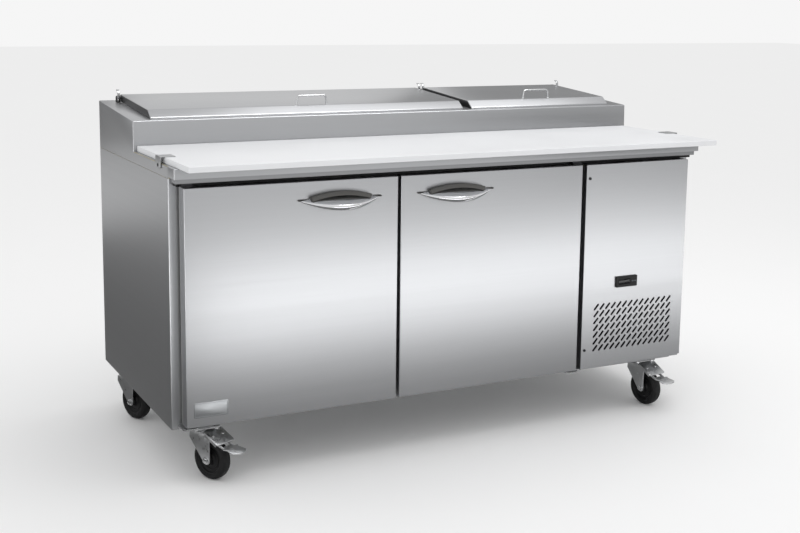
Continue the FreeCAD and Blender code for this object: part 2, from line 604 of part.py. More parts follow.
EVAPORATOR = (316.0, STORE_X1 - 1.1, -60.0, 360.0, 490.0, 780.0)
EVAPORATOR_FAN = (150.0, 640.0)          # middle y, middle z
FAN_HUB_R, FAN_TIP_R = 22.0, 82.0


def evaporator_cover():
    """Cold-air housing on the store's right wall, with a round fan mouth and air slots."""
    x0, x1, y0, y1, z0, z1 = EVAPORATOR
    shell = box(x0, x1, y0, y1, z0, z1).cut(box(x0 + 2, x1 + 5, y0 + 2, y1 - 2, z0 + 2, z1 - 2))
    y, z = EVAPORATOR_FAN
    mouth = rod((x0 - 5, y, z), (x0 + 5, y, z), FAN_TIP_R + 8)
    slots = [box(x0 - 5, x0 + 5, y0 + 20 + 16 * i, y0 + 28 + 16 * i, z0 + 30, z1 - 30) for i in range(5)]
    motor = rod((x0 + 50, y, z), (x1 - 4, y, z), 28)
    stays = box(x0 + 58, x0 + 64, y - 6, y + 6, z0 + 1, z1 - 1)
    shaft = rod((x0 + 10, y, z), (x0 + 52, y, z), 4)
    return fuse([shell.cut(mouth).cut(Part.makeCompound(slots)), motor, stays, shaft])


def evaporator_coil():
    """Finned block inside the cold-air housing, above the fan motor."""
    x0, x1, y0, y1, z0, z1 = EVAPORATOR
    fins = [box(x0 + 8, x1 - 8, y0 + 12 + 9 * i, y0 + 13.5 + 9 * i, z0 + 16, z1 - 16) for i in range(9)]
    tubes = [rod((x0 + 22 + 32 * i, y0 + 8, z0 + 40 + 42 * j), (x0 + 22 + 32 * i, y0 + 92, z0 + 40 + 42 * j), 5)
             for i in range(2) for j in range(5)]
    return fuse(fins + tubes)


def fan(centre, direction, thickness):
    """Five-blade fan with a bored hub, its axis along the direction."""
    hub = Part.makeCylinder(FAN_HUB_R, thickness)
    blades = []
    for i in range(5):
        blade = box(FAN_HUB_R - 4, FAN_TIP_R, -22, 22, 0, 2.5)
        blade.rotate(V(50, 0, 1), V(1, 0, 0), 24)
        blade.translate(V(0, 0, thickness / 2 - 1))
        blade.rotate(V(0, 0, 0), V(0, 0, 1), i * 72)
        blades.append(blade)
    whole = fuse([hub] + blades).common(Part.makeCylinder(FAN_TIP_R, thickness + 30, V(0, 0, -15)))
    whole = whole.cut(Part.makeCylinder(4 + FIT, thickness + 40, V(0, 0, -20)))
    turn = FreeCAD.Rotation(V(0, 0, 1), V(*direction))
    whole.Placement = FreeCAD.Placement(V(*centre), turn)
    return whole


# ---- machinery ----------------------------------------------------------------------
CONDENSER = (478.0, 822.0, BODY_FRONT + 12, BODY_FRONT + 62, 178.0, 420.0)
CONDENSER_FAN = (650.0, BODY_FRONT + 92, 300.0)
COMPRESSOR = (690.0, 130.0, 88.0)        # middle x, middle y, radius of the can


def condenser_coil():
    """Finned block behind the grille, standing on two feet."""
    x0, x1, y0, y1, z0, z1 = CONDENSER
    count = 28
    step = (x1 - x0 - 6) / (count - 1)
    fins = [box(x0 + i * step, x0 + i * step + 2, y0, y1, z0, z1) for i in range(count)]
    plates = [box(x - 2, x + 2, y0 - 2, y1 + 2, BASE_Z + SHEET, z1 + 6) for x in (x0 - 2, x1 + 2)]
    tubes = [rod((x0 - 4, y, z), (x1 + 4, y, z), 5)
             for y in (y0 + 14, y1 - 14) for z in range(int(z0) + 22, int(z1) - 10, 44)]
    return fuse(fins + plates + tubes)


def fan_shroud():
    """Plate with a fan ring behind the condenser, with the motor on its stays."""
    x, y, z = CONDENSER_FAN
    y0 = CONDENSER[3] + 3
    plate = box(x - 130, x + 130, y0, y0 + 2, BASE_Z + SHEET, z + 122)
    ring = rod((x, y0, z), (x, y0 + 40, z), FAN_TIP_R + 10)
    bore = rod((x, y0 - 5, z), (x, y0 + 60, z), FAN_TIP_R + 7)
    motor = rod((x, y + 30, z), (x, y + 80, z), 38)
    shaft = rod((x, y - 8, z), (x, y + 32, z), 4)
    stays = [box(x - 100, x + 100, y + 36, y + 40, z + s * 24 - 5, z + s * 24 + 5) for s in (-1, 1)]
    legs = [box(x + s * 98 - 4, x + s * 98 + 4, y0 + 1, y + 40, z - 30, z + 30) for s in (-1, 1)]
    return fuse([fuse([plate, ring]).cut(bore), motor, shaft] + stays + legs)


def compressor():
    """Hermetic compressor: domed can on a foot plate with rubber feet."""
    (x, y, r), z = COMPRESSOR, BASE_Z + SHEET
    can = Part.makeCylinder(r, 130, V(x, y, z + 60))
    can = can.fuse([Part.makeSphere(r, V(x, y, z + 190)), Part.makeSphere(r, V(x, y, z + 60))])
    can = can.common(box(x - 90, x + 90, y - 90, y + 90, z + 26, z + 245))
    plate = box(x - 105, x + 105, y - 70, y + 70, z + 22, z + 27)
    feet = [Part.makeCylinder(15, 22.5, V(x + sx * 85, y + sy * 52, z)) for sx in (-1, 1) for sy in (-1, 1)]
    stubs = [rod((x - 80, y - 30, z + 150), (x - 120, y - 30, z + 150), 5),
             rod((x - 80, y + 30, z + 90), (x - 120, y + 30, z + 90), 8)]
    case = box(x + 80, x + 112, y - 35, y + 35, z + 80, z + 160)
    return fuse([can, plate, case] + feet + stubs)


def power_inlet():
    """Cable gland in the back panel for the mains lead."""
    x, z = GLAND_X, GLAND_Z
    flange = rod((x, BACK - 6, z), (x, BACK - SHEET - 0.1, z), 15)
    neck = rod((x, BACK - 26, z), (x, BACK - 0.2, z), GLAND_NECK_R)
    return fuse([flange, neck]).cut(rod((x, BACK - 40, z), (x, BACK + 5, z), GLAND_BORE_R))


# ---- casters ------------------------------------------------------------------------
def at_caster(shape, name):
    """Carry a caster piece, drawn heading along +X, to its place on the cabinet."""
    x, y, heading = CASTERS[name]
    moved = shape.copy()
    moved.rotate(V(0, 0, 0), V(0, 0, 1), heading)
    moved.translate(V(x, y, 0))
    return moved


def caster_plates():
    """Mounting plates under the cabinet, each with its kingpin and the upper half of its ball race."""
    plates = []
    half = PLATE / 2
    for x, y, _ in CASTERS.values():
        plate = box(x - half, x + half, y - half, y + half, BASE_Z - PLATE_T, BASE_Z)
        plate = plate.makeFillet(8.0, [e for e in plate.Edges if is_upright(e)])
        race = Part.makeCone(24, 28, 5, V(x, y, BASE_Z - PLATE_T - 5))
        pin = rod((x, y, CROWN_Z - 3), (x, y, BASE_Z - PLATE_T - 1), KINGPIN_R)
        holes = [Part.makeCylinder(4.3, 20, V(x + dx, y + dy, BASE_Z - 12)) for dx, dy in bolt_places()]
        plates.append(fuse([plate, race, pin]).cut(Part.makeCompound(holes)))
    return Part.makeCompound(plates)


def bolt_places():
    """Bolt positions on one mounting plate, from its middle."""
    return [(sx * BOLT, sy * BOLT) for sx in (-1, 1) for sy in (-1, 1)]


def caster_leg(v0, v1):
    """One fork leg: wide at the crown, narrow at the axle."""
    outline = [(-30, v0, CROWN_Z + 3), (-30, v0, CROWN_Z - 18), (TRAIL - 12, v0, WHEEL_R - 8),
               (TRAIL - 6, v0, WHEEL_R - 13), (TRAIL + 6, v0, WHEEL_R - 13), (TRAIL + 12, v0, WHEEL_R - 8),
               (TRAIL + 12, v0, CROWN_Z + 3)]
    return prism(outline, (0, v1 - v0, 0))


def fork_hood():
    """Sloped hood with turned-down sides, over the front of a braked fork."""
    (u0, z0), (u1, z1) = HOOD_TOP, HOOD_LOW
    top = prism([(u0, -HOOD_HALF, z0), (u1, -HOOD_HALF, z1), (u1, -HOOD_HALF, z1 - HOOD_T),
                 (u0, -HOOD_HALF, z0 - HOOD_T)], (0, 2 * HOOD_HALF, 0))
    skirt = prism([(u0, HOOD_HALF - 2, z0 - 1), (u1, HOOD_HALF - 2, z1 - 1), (u1, HOOD_HALF - 2, z1 - HOOD_SKIRT),
                   (u0, HOOD_HALF - 2, z0 - HOOD_SKIRT)], (0, 2, 0))
    other = skirt.copy()
    other.translate(V(0, 2 - 2 * HOOD_HALF, 0))
    return fuse([top, skirt, other])


def caster_fork(name):
    """Swivel fork with its crown, lower race and axle bolt."""
    crown = box(-32, TRAIL + 12, -LEG_IN - LEG_T, LEG_IN + LEG_T, CROWN_Z, CROWN_Z + 4)
    race = Part.makeCone(30, 26, 7.5, V(0, 0, CROWN_Z + 4))
    legs = [caster_leg(LEG_IN, LEG_IN + LEG_T), caster_leg(-LEG_IN - LEG_T, -LEG_IN)]
    pedal_hole = rod((PEDAL_PIVOT[0], -40, PEDAL_PIVOT[1]), (PEDAL_PIVOT[0], 40, PEDAL_PIVOT[1]), 3 + FIT)
    reach = LEG_IN + LEG_T
    axle = rod((TRAIL, -reach - 2, WHEEL_R), (TRAIL, reach + 2, WHEEL_R), AXLE_R)
    heads = [rod((TRAIL, s * reach, WHEEL_R), (TRAIL, s * (reach + 5), WHEEL_R), 9.5) for s in (-1, 1)]
    bore = rod((0, 0, CROWN_Z - 5), (0, 0, BASE_Z), KINGPIN_R + FIT)
    body = fuse([crown, race] + legs).cut(bore)
    if name in BRAKED:
        body = fuse([body, fork_hood()]).cut(pedal_hole)
    return at_caster(fuse([body, axle] + heads), name)


def caster_wheel(name):
    """Wheel with a rounded tread, recessed webs and a bored hub."""
    half = WHEEL_W / 2
    tyre = Part.makeCylinder(WHEEL_R, WHEEL_W, V(TRAIL, -half, WHEEL_R), V(0, 1, 0))
    tyre = tyre.makeFillet(9.0, [e for e in tyre.Edges if e.Closed])
    recess = Part.makeCylinder(41, 8, V(TRAIL, -half, WHEEL_R), V(0, 1, 0))
    mirror = Part.makeCylinder(41, 8, V(TRAIL, half - 8, WHEEL_R), V(0, 1, 0))
    hub = Part.makeCylinder(16, WHEEL_W + 8, V(TRAIL, -half - 4, WHEEL_R), V(0, 1, 0))
    bore = Part.makeCylinder(AXLE_R + FIT, 80, V(TRAIL, -40, WHEEL_R), V(0, 1, 0))
    return at_caster(fuse([tyre.cut(recess).cut(mirror), hub]).cut(bore), name)


def brake_pedal(name):
    """Foot pedal: two arms on a cross pin, astride the wheel, and a flared tread plate."""
    (u, z), (u1, z1) = PEDAL_PIVOT, PEDAL_END
    inner = WHEEL_W / 2 + 1.2
    pin = rod((u, -LEG_IN - LEG_T, z), (u, LEG_IN + LEG_T, z), 3.0)
    outline = [(u - 6, inner, z - 5), (u - 6, inner, z + 5), (u + 4, inner, z + 5), (u1, inner, z1 + 3),
               (u1, inner, z1 - 4), (u + 4, inner, z - 6)]
    arms = [prism(outline, (0, 2.8, 0))]
    arms.append(arms[0].copy())
    arms[1].translate(V(0, -2 * inner - 2.8, 0))
    bridge = box(u1 - 7, u1, -inner - 2.8, inner + 2.8, z1 - 3, z1 + 1)
    half = [(u1 - 6, 14), (u1 + 4, 14), (u1 + 6, 31), (u1 + 14, 24), (u1 + 40, 29), (u1 + 50, 18)]
    around = [(x, -y) for x, y in half] + [(u1 + 53, 0)] + half[::-1]
    tread = prism([(x, y, z1 + 0.5) for x, y in around], (0, 0, 3))
    tread.rotate(V(u1, 0, z1), V(0, 1, 0), 9)
    return at_caster(fuse([pin, bridge, tread] + arms), name)


def build():
    """Make every node."""
    left = side_skin()
    NODES["side_panel_left"] = left
    NODES["side_panel_right"] = mirrored(left)
    for name in ("back_panel", "base_panel", "front_frame", "machine_wall", "foam_core", "cabinet_liner",
                 "work_deck", "header_strip", "recess_strip", "rail_housing", "rail_top_frame",
                 "pan_divider_bars", "lid_hinge_brackets", "cutting_board", "board_clips",
                 "door_hinge_brackets", "service_panel", "panel_screws", "controller", "shelf_supports",
                 "evaporator_cover", "evaporator_coil", "condenser_coil", "fan_shroud", "compressor",
                 "power_inlet", "caster_plates"):
        NODES[name] = globals()[name]()
    for side in ("left", "right"):
        NODES["pans_" + side] = bay_pans(side)
        NODES["lid_" + side] = lid(side)
        NODES["lid_handle_" + side] = lid_handle(side)
        NODES["door_skin_" + side] = door_skin(side)
        NODES["door_inner_panel_" + side] = door_inner_panel(side)
        NODES["door_gasket_" + side] = door_gasket(side)
        NODES["door_handle_" + side] = door_handle(side)
        NODES["wire_shelf_" + side] = wire_shelf(side)
    for label, x in zip(("down", "up", "set"), BUTTON_X):
        NODES["button_" + label] = button(x)
    y, z = EVAPORATOR_FAN
    NODES["evaporator_fan"] = fan((EVAPORATOR[0] + 18, y, z), (1, 0, 0), 16)
    x, y, z = CONDENSER_FAN
    NODES["condenser_fan"] = fan((x, y, z), (0, 1, 0), 16)
    for name in CASTERS:
        NODES["caster_fork_" + name] = caster_fork(name)
        NODES["caster_wheel_" + name] = caster_wheel(name)
    for name in BRAKED:
        NODES["brake_pedal_" + name] = brake_pedal(name)


build()
os.makedirs("parts", exist_ok=True)
for node, shape in NODES.items():
    shape.exportStep("parts/" + node + ".step")
print(len(NODES), "nodes written")
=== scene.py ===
"""Sandwich prep table: its looks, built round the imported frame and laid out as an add-on.

Metres, +Z up, doors facing -Y. Places come from the frame's nodes and joints.
"""
import json
import math

import bpy
from mathutils import Matrix, Vector


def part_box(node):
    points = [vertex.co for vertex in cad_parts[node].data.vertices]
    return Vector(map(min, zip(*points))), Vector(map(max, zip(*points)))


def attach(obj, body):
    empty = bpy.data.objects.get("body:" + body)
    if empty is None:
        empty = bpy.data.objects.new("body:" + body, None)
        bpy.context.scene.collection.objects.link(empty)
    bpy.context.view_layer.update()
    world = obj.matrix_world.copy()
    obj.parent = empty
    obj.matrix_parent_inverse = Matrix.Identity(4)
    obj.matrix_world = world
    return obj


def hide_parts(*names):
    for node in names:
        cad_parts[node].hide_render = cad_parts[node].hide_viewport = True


bl_info = {
    "name": "Sandwich prep table",
    "version": (1, 0, 0),
    "blender": (4, 5, 0),
    "location": "View3D > Sidebar > Prep table",
    "description": "Builds the finished pieces of a two-door prep table round its frame",
    "category": "Object",
}

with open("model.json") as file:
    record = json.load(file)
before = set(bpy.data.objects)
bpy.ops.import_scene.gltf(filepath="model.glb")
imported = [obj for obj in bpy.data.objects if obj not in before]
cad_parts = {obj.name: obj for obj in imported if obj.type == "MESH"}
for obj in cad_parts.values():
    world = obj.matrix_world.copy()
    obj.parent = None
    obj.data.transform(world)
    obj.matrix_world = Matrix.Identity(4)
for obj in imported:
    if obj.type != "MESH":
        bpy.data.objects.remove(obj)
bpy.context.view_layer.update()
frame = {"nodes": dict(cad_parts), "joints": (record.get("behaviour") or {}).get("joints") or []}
NODES = frame["nodes"]
JOINTS = {joint["name"]: joint for joint in frame["joints"]}
MM = 0.001
SIDES = ("left", "right")
CORNERS = ("front_left", "front_right", "rear_left", "rear_right")
FRONTS = ("front_left", "front_right")

# The sloped rail: x stays, y runs up the slope from its front edge, z stands off it.
LIFT = Vector(JOINTS["pans_left_lift"]["axis"])
SLOPE = math.atan2(-LIFT.y, LIFT.z)
RAIL_LOW, RAIL_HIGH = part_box("rail_top_frame")
RAIL_FRONT_Z = RAIL_HIGH.z - (RAIL_HIGH.y - RAIL_LOW.y) * math.tan(SLOPE)
RAIL = Matrix.Translation((0, RAIL_LOW.y, RAIL_FRONT_Z)) @ Matrix.Rotation(SLOPE, 4, "X")
# Takes a plate drawn flat, with its thickness up, to one drawn in YZ with its thickness along X.
ON_END = Matrix(((0, 0, 1, 0), (1, 0, 0, 0), (0, 1, 0, 0), (0, 0, 0, 1)))
# The same, to one drawn in XZ with its thickness along -Y.
ON_FACE = Matrix.Rotation(math.radians(90), 4, "X")
DOOR_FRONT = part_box("door_skin_left")[0].y
SHEET = 1.5 * MM
SNAP = MM / 5                     # two places nearer than this count as the same
PAN_PITCH = 178 * MM              # from one pan to the next
WHEEL_R, WHEEL_HALF = 60 * MM, 17 * MM
TRAIL = 34 * MM                   # from the kingpin to the axle
LEG_OUT, CROWN_Z = 26 * MM, 134 * MM
PLATE_BOLT, PLATE_T = 29 * MM, 4 * MM
PEDAL_PIVOT, PEDAL_END = Vector((0.026, 0, 0.127)), Vector((0.098, 0, 0.106))


def mm(*points):
    """Points given in millimetres, in metres."""
    return [tuple(value * MM for value in point) for point in points]


def srgb(code):
    """Linear red, green and blue, and alpha, of an sRGB hex colour."""
    parts = [int(code[i:i + 2], 16) / 255 for i in (1, 3, 5)]
    return tuple(c / 12.92 if c <= 0.04045 else ((c + 0.055) / 1.055) ** 2.4 for c in parts) + (1.0,)


# ---- what a user may change ----------------------------------------------------------
class PrepSizes(bpy.types.PropertyGroup):
    """Sizes of the finish: folds, wires, grain and light."""
    fold: bpy.props.FloatProperty(
        name="Fold radius", description="Outer radius of the folds in the steel sheet",
        default=3.2 * MM, min=0.5 * MM, unit="LENGTH")
    grain: bpy.props.FloatProperty(
        name="Grain width", description="Width of one line of the brushed finish, as drawn",
        default=1.6 * MM, min=0.2 * MM, unit="LENGTH")
    wire: bpy.props.FloatProperty(
        name="Shelf wire", description="Radius of the shelves' close wires",
        default=1.6 * MM, min=0.5 * MM, unit="LENGTH")
    floor: bpy.props.FloatProperty(
        name="Floor", description="Half the side of the studio floor",
        default=30.0, unit="LENGTH")
    world: bpy.props.FloatProperty(
        name="Room light", description="Strength of the even light from the room", default=0.92)


class PrepColours(bpy.types.PropertyGroup):
    """Base colours of the finishes."""
    steel: bpy.props.FloatVectorProperty(
        name="Stainless steel", description="Brushed stainless sheet", subtype="COLOR", size=4,
        default=srgb("#ABACAE"))
    board: bpy.props.FloatVectorProperty(
        name="Cutting board", description="White polyethylene", subtype="COLOR", size=4,
        default=srgb("#E2E3E5"))
    rubber: bpy.props.FloatVectorProperty(
        name="Wheel rubber", description="Tyres of the casters", subtype="COLOR", size=4,
        default=srgb("#0C0C0D"))
    zinc: bpy.props.FloatVectorProperty(
        name="Zinc plate", description="Pressed caster steel", subtype="COLOR", size=4,
        default=srgb("#B9BABB"))
    lining: bpy.props.FloatVectorProperty(
        name="Door lining", description="Vacuum-formed inner panels", subtype="COLOR", size=4,
        default=srgb("#E9E9E5"))
    floor: bpy.props.FloatVectorProperty(
        name="Floor", description="Painted studio floor", subtype="COLOR", size=4,
        default=srgb("#F6F6F6"))


# ---- modelling -----------------------------------------------------------------------
def deselect():
    """Object mode, with nothing selected."""
    if bpy.context.object is not None and bpy.context.object.mode != "OBJECT":
        bpy.ops.object.mode_set(mode="OBJECT")
    bpy.ops.object.select_all(action="DESELECT")


def take(*pieces):
    """Select only these pieces, the first one active."""
    deselect()
    for piece in pieces:
        piece.select_set(True)
    bpy.context.view_layer.objects.active = pieces[0]
    return pieces[0]


def edit(piece, kind="VERT"):
    """Edit mode on one piece, with everything selected."""
    take(piece)
    bpy.ops.object.mode_set(mode="EDIT")
    bpy.ops.mesh.select_mode(type=kind)
    bpy.ops.mesh.select_all(action="SELECT")


def leave():
    """Back to object mode."""
    bpy.ops.object.mode_set(mode="OBJECT")


def pick(piece, kind, test):
    """Edit mode with only the elements selected that pass a test."""
    edit(piece, kind)
    bpy.ops.mesh.select_all(action="DESELECT")
    leave()
    group = {"VERT": piece.data.vertices, "EDGE": piece.data.edges, "FACE": piece.data.polygons}[kind]
    for element in group:
        element.select = test(element)
    bpy.ops.object.mode_set(mode="EDIT")


def settle(piece, place=None):
    """Put a piece's place into its mesh, after moving it by a matrix if one is given."""
    take(piece)
    if place is not None:
        piece.matrix_world = place @ piece.matrix_world
    bpy.ops.object.transform_apply(location=True, rotation=True, scale=True)
    return piece


def named(name):
    """Name the new primitive and settle it."""
    piece = bpy.context.object
    piece.name = name
    piece.data.name = name
    return settle(piece)


def block(name, low, high):
    """Box between two corners, to be shaped further."""
    deselect()
    low, high = Vector(low), Vector(high)
    bpy.ops.mesh.primitive_cube_add(size=1, location=(low + high) / 2)
    bpy.context.object.scale = high - low
    return named(name)


def drum(name, start, end, radius, sides=32):
    """Round bar between two points, to be shaped further."""
    deselect()
    a, b = Vector(start), Vector(end)
    turn = (b - a).to_track_quat("Z", "Y").to_euler()
    bpy.ops.mesh.primitive_cylinder_add(
        vertices=sides, radius=radius, depth=(b - a).length, location=(a + b) / 2, rotation=turn)
    return named(name)


def modify(piece, kind, **settings):
    """Add a modifier and apply it."""
    take(piece)
    modifier = piece.modifiers.new(kind.title(), kind)
    for key, value in settings.items():
        setattr(modifier, key, value)
    bpy.ops.object.modifier_apply(modifier=modifier.name)
    return piece


def smooth(piece, angle=35):
    """Smooth shading that keeps edges sharper than an angle."""
    take(piece)
    bpy.ops.object.shade_smooth_by_angle(angle=math.radians(angle))
    return piece


def ease(piece, width, segments=2, angle=30):
    """Round every edge sharper than an angle."""
    modify(piece, "BEVEL", width=width, segments=segments, limit_method="ANGLE",
           angle_limit=math.radians(angle))
    return smooth(piece)


def pick_edges(piece, test):
    """Edit mode with only the edges selected whose two ends pass a test."""
    points = piece.data.vertices
    pick(piece, "EDGE", lambda edge: test(*(points[i].co for i in edge.vertices)))


def round_picked(width, segments=3):
    """Round the selected edges and leave edit mode."""
    bpy.ops.mesh.bevel(offset=width, segments=segments, affect="EDGES")
    leave()


def round_edges(piece, test, width):
    """Round only the edges that pass a test of their two ends."""
    pick_edges(piece, test)
    round_picked(width)
    return smooth(piece)


def outward(piece):
    """Merge doubles and turn every face outwards."""
    edit(piece)
    bpy.ops.mesh.remove_doubles(threshold=0.01 * MM)
    bpy.ops.mesh.normals_make_consistent(inside=False)
    leave()
    return piece


def loop(name, points, filled):
    """Closed outline of points, drawn flat."""
    deselect()
    bpy.ops.mesh.primitive_circle_add(vertices=len(points), fill_type="NGON" if filled else "NOTHING")
    piece = named(name)
    for vertex, point in zip(piece.data.vertices, points):
        vertex.co = (*point, 0)
    return piece


def slab(name, outline, thickness, place=None):
    """Flat plate of an outline, with its thickness, then placed."""
    piece = loop(name, outline, True)
    edit(piece, "FACE")
    bpy.ops.mesh.extrude_region_move(TRANSFORM_OT_translate={"value": (0, 0, thickness)})
    leave()
    outward(piece)
    return settle(piece, place)


def lathe(name, profile, place=None, steps=48):
    """Round solid: a closed profile of (radius, height) points turned about Z, then placed."""
    piece = loop(name, [(0, 0)] * len(profile), False)
    for vertex, (radius, height) in zip(piece.data.vertices, profile):
        vertex.co = (radius, 0, height)
    edit(piece)
    bpy.ops.mesh.spin(steps=steps, angle=math.tau, center=(0, 0, 0), axis=(0, 0, 1))
    bpy.ops.mesh.select_all(action="SELECT")
    bpy.ops.mesh.remove_doubles(threshold=0.01 * MM)
    bpy.ops.mesh.dissolve_degenerate(threshold=0.01 * MM)
    leave()
    outward(piece)
    settle(piece, place)
    return smooth(piece)


def aim(at, direction):
    """Matrix that stands +Z along a direction at a point."""
    return Matrix.Translation(at) @ Vector(direction).to_track_quat("Z", "Y").to_matrix().to_4x4()


def arc(centre, radius, start, stop, steps=6):
    """Points of a flat arc between two angles in degrees."""
    angles = [math.radians(start + (stop - start) * i / steps) for i in range(steps + 1)]
    return [(centre[0] + radius * math.cos(a), centre[1] + radius * math.sin(a)) for a in angles]


def rounded(width, height, radius, steps=5):
    """Outline of a rectangle with round corners, about its middle."""
    x, y = width / 2 - radius, height / 2 - radius
    return (arc((x, y), radius, 0, 90, steps) + arc((-x, y), radius, 90, 180, steps)
            + arc((-x, -y), radius, 180, 270, steps) + arc((x, -y), radius, 270, 360, steps))


def bent(corners, radius, closed=False):
    """Points of a wire bent with one radius at each corner."""
    path, steps, count = [], 6, len(corners)
    for i, corner in enumerate(corners):
        corner = Vector(corner)
        if not closed and i in (0, count - 1):
            path.append(corner)
            continue
        back = (Vector(corners[i - 1]) - corner).normalized()
        ahead = (Vector(corners[(i + 1) % count]) - corner).normalized()
        half = back.angle(ahead) / 2
        reach = radius / math.tan(half)
        centre = corner + (back + ahead).normalized() * radius / math.sin(half)
        first, last = corner + back * reach - centre, corner + ahead * reach - centre
        path += [centre + first.slerp(last, s / steps).normalized() * radius for s in range(steps + 1)]
    return path


def round_wire(name, radius, sides):
    """Empty curve, as thick as a wire."""
    data = bpy.data.curves.new(name, "CURVE")
    data.dimensions = "3D"
    data.bevel_depth, data.bevel_resolution = radius, sides
    data.use_fill_caps = True
    return data


def add_run(data, kind, path):
    """Add one run of points to a curve."""
    spline = data.splines.new(kind)
    spline.points.add(len(path) - 1)
    for point, place in zip(spline.points, path):
        point.co = (*place, 1.0)
    return spline


def solid_wire(data, angle):
    """Mesh of a curve."""
    piece = bpy.data.objects.new(data.name, data)
    bpy.context.scene.collection.objects.link(piece)
    take(piece)
    bpy.ops.object.convert(target="MESH")
    return smooth(bpy.context.object, angle)


def wires(name, paths, radius, closed=False, sides=3):
    """Round wires along several lists of points, as one piece."""
    data = round_wire(name, radius, sides)
    for path in paths:
        add_run(data, "POLY", path).use_cyclic_u = closed
    return solid_wire(data, 50)


def flexible(name, route, radius):
    """Round hose or cable on a smooth curve through a given route."""
    data = round_wire(name, radius, 4)
    data.resolution_u = 8
    spline = add_run(data, "NURBS", route)
    spline.order_u = 3
    spline.use_endpoint_u = True
    return solid_wire(data, 60)


def join(name, pieces):
    """Join pieces into one."""
    take(*pieces)
    if len(pieces) > 1:
        bpy.ops.object.join()
    pieces[0].name = name
    return pieces[0]


def copy_of(node, name):
    """New piece in a node's shape, its loose triangles merged into whole faces."""
    piece = bpy.data.objects.new(name, NODES[node].data.copy())
    bpy.context.scene.collection.objects.link(piece)
    take(piece)
    bpy.ops.mesh.customdata_custom_splitnormals_clear()
    edit(piece)
    bpy.ops.mesh.remove_doubles(threshold=0.02 * MM)
    bpy.ops.mesh.dissolve_limited(angle_limit=math.radians(0.5))
    leave()
    piece.data.materials.clear()
    return smooth(piece)


def again(piece, name, place):
    """Copy of a piece, with its own mesh, moved by a matrix."""
    twin = bpy.data.objects.new(name, piece.data.copy())
    bpy.context.scene.collection.objects.link(twin)
    return settle(twin, place)


def cut(piece, tool):
    """Take one closed piece out of another."""
    modify(piece, "BOOLEAN", operation="DIFFERENCE", object=tool, solver="EXACT")
    bpy.data.objects.remove(tool)
    return piece


def ring(name, low, high, width):
    """Flat frame in XZ between two corners, as deep as they are apart in Y."""
    low, high = Vector(low), Vector(high)
    outline = [(low.x, low.z), (high.x, low.z), (high.x, high.z), (low.x, high.z)]
    piece = loop(name, outline, True)
    edit(piece, "FACE")
    bpy.ops.mesh.inset(thickness=width)
    bpy.ops.mesh.delete(type="FACE")
    bpy.ops.mesh.select_all(action="SELECT")
    bpy.ops.mesh.extrude_region_move(TRANSFORM_OT_translate={"value": (0, 0, high.y - low.y)})
    leave()
    outward(piece)
    return settle(piece, Matrix.Translation((0, high.y, 0)) @ ON_FACE)


def folded(name, outline, x0, x1, is_open):
    """Sheet folded from an outline in YZ: faces that pass a test are left out, folds are rounded."""
    piece = slab(name, outline, x1 - x0, Matrix.Translation((x0, 0, 0)) @ ON_END)
    pick(piece, "FACE", is_open)
    bpy.ops.mesh.delete(type="FACE")
    bpy.ops.mesh.select_mode(type="EDGE")
    bpy.ops.mesh.select_all(action="SELECT")
    round_picked(bpy.context.scene.prep_sizes.fold)
    return piece


def thicken(piece):
    """Give an open skin the sheet's thickness, inwards."""
    return modify(piece, "SOLIDIFY", thickness=SHEET, offset=-1, use_even_offset=True)


def finish(piece, body, material, nodes=()):
    """Give a piece its material, its body and the nodes it stands for."""
    piece.data.materials.clear()
    piece.data.materials.append(material)
    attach(piece, body)
    if nodes:
        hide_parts(*nodes)
    return piece


def second_material(piece, material, test):
    """Give the faces that pass a test another finish."""
    piece.data.materials.append(material)
    for face in piece.data.polygons:
        if test(face):
            face.material_index = len(piece.data.materials) - 1


def paint(node, material):
    """Give a carried-over node its material."""
    data = NODES[node].data
    if not data.materials:
        data.materials.append(material)
    for i in range(len(data.materials)):
        data.materials[i] = material


def rail_box(node):
    """Corners of a node along and off the sloped rail."""
    flat = RAIL.inverted()
    points = [flat @ vertex.co for vertex in NODES[node].data.vertices]
    return Vector(map(min, *points)), Vector(map(max, *points))


# ---- materials -----------------------------------------------------------------------
def add_node(tree, kind, sockets=None, **settings):
    """Add a node with its settings, its values and its links."""
    made = tree.nodes.new(kind)
    for key, value in settings.items():
        setattr(made, key, value)
    for socket, value in (sockets or {}).items():
        if isinstance(value, bpy.types.NodeSocket):
            tree.links.new(value, made.inputs[socket])
        else:
            made.inputs[socket].default_value = value
    return made


def base(name, colour, roughness, metallic=0.0, **sockets):
    """Material with its even values on the shader's own sockets: (material, tree, shader, coordinates)."""
    material = bpy.data.materials.new(name)
    material.use_nodes = True
    tree = material.node_tree
    shader = tree.nodes["Principled BSDF"]
    shader.inputs["Base Color"].default_value = colour
    shader.inputs["Roughness"].default_value = roughness
    shader.inputs["Metallic"].default_value = metallic
    for socket, value in sockets.items():
        shader.inputs[socket.replace("_", " ")].default_value = value
    material.diffuse_color = colour
    coordinates = add_node(tree, "ShaderNodeTexCoord").outputs["Object"]
    return material, tree, shader, coordinates


def noise(tree, coordinates, scale, detail=3.0):
    """Noise, its scale per metre along each axis."""
    spread = add_node(tree, "ShaderNodeMapping", {"Vector": coordinates, "Scale": scale})
    made = add_node(tree, "ShaderNodeTexNoise",
                    {"Vector": spread.outputs[0], "Scale": 1.0, "Detail": detail, "Roughness": 0.6})
    return made.outputs["Fac"]


def spread_between(tree, value, low, high):
    """A noise value carried into a narrow range, as a socket."""
    made = add_node(tree, "ShaderNodeMapRange",
                    {"Value": value, "From Min": 0.3, "From Max": 0.7, "To Min": low, "To Max": high})
    return made.outputs[0]


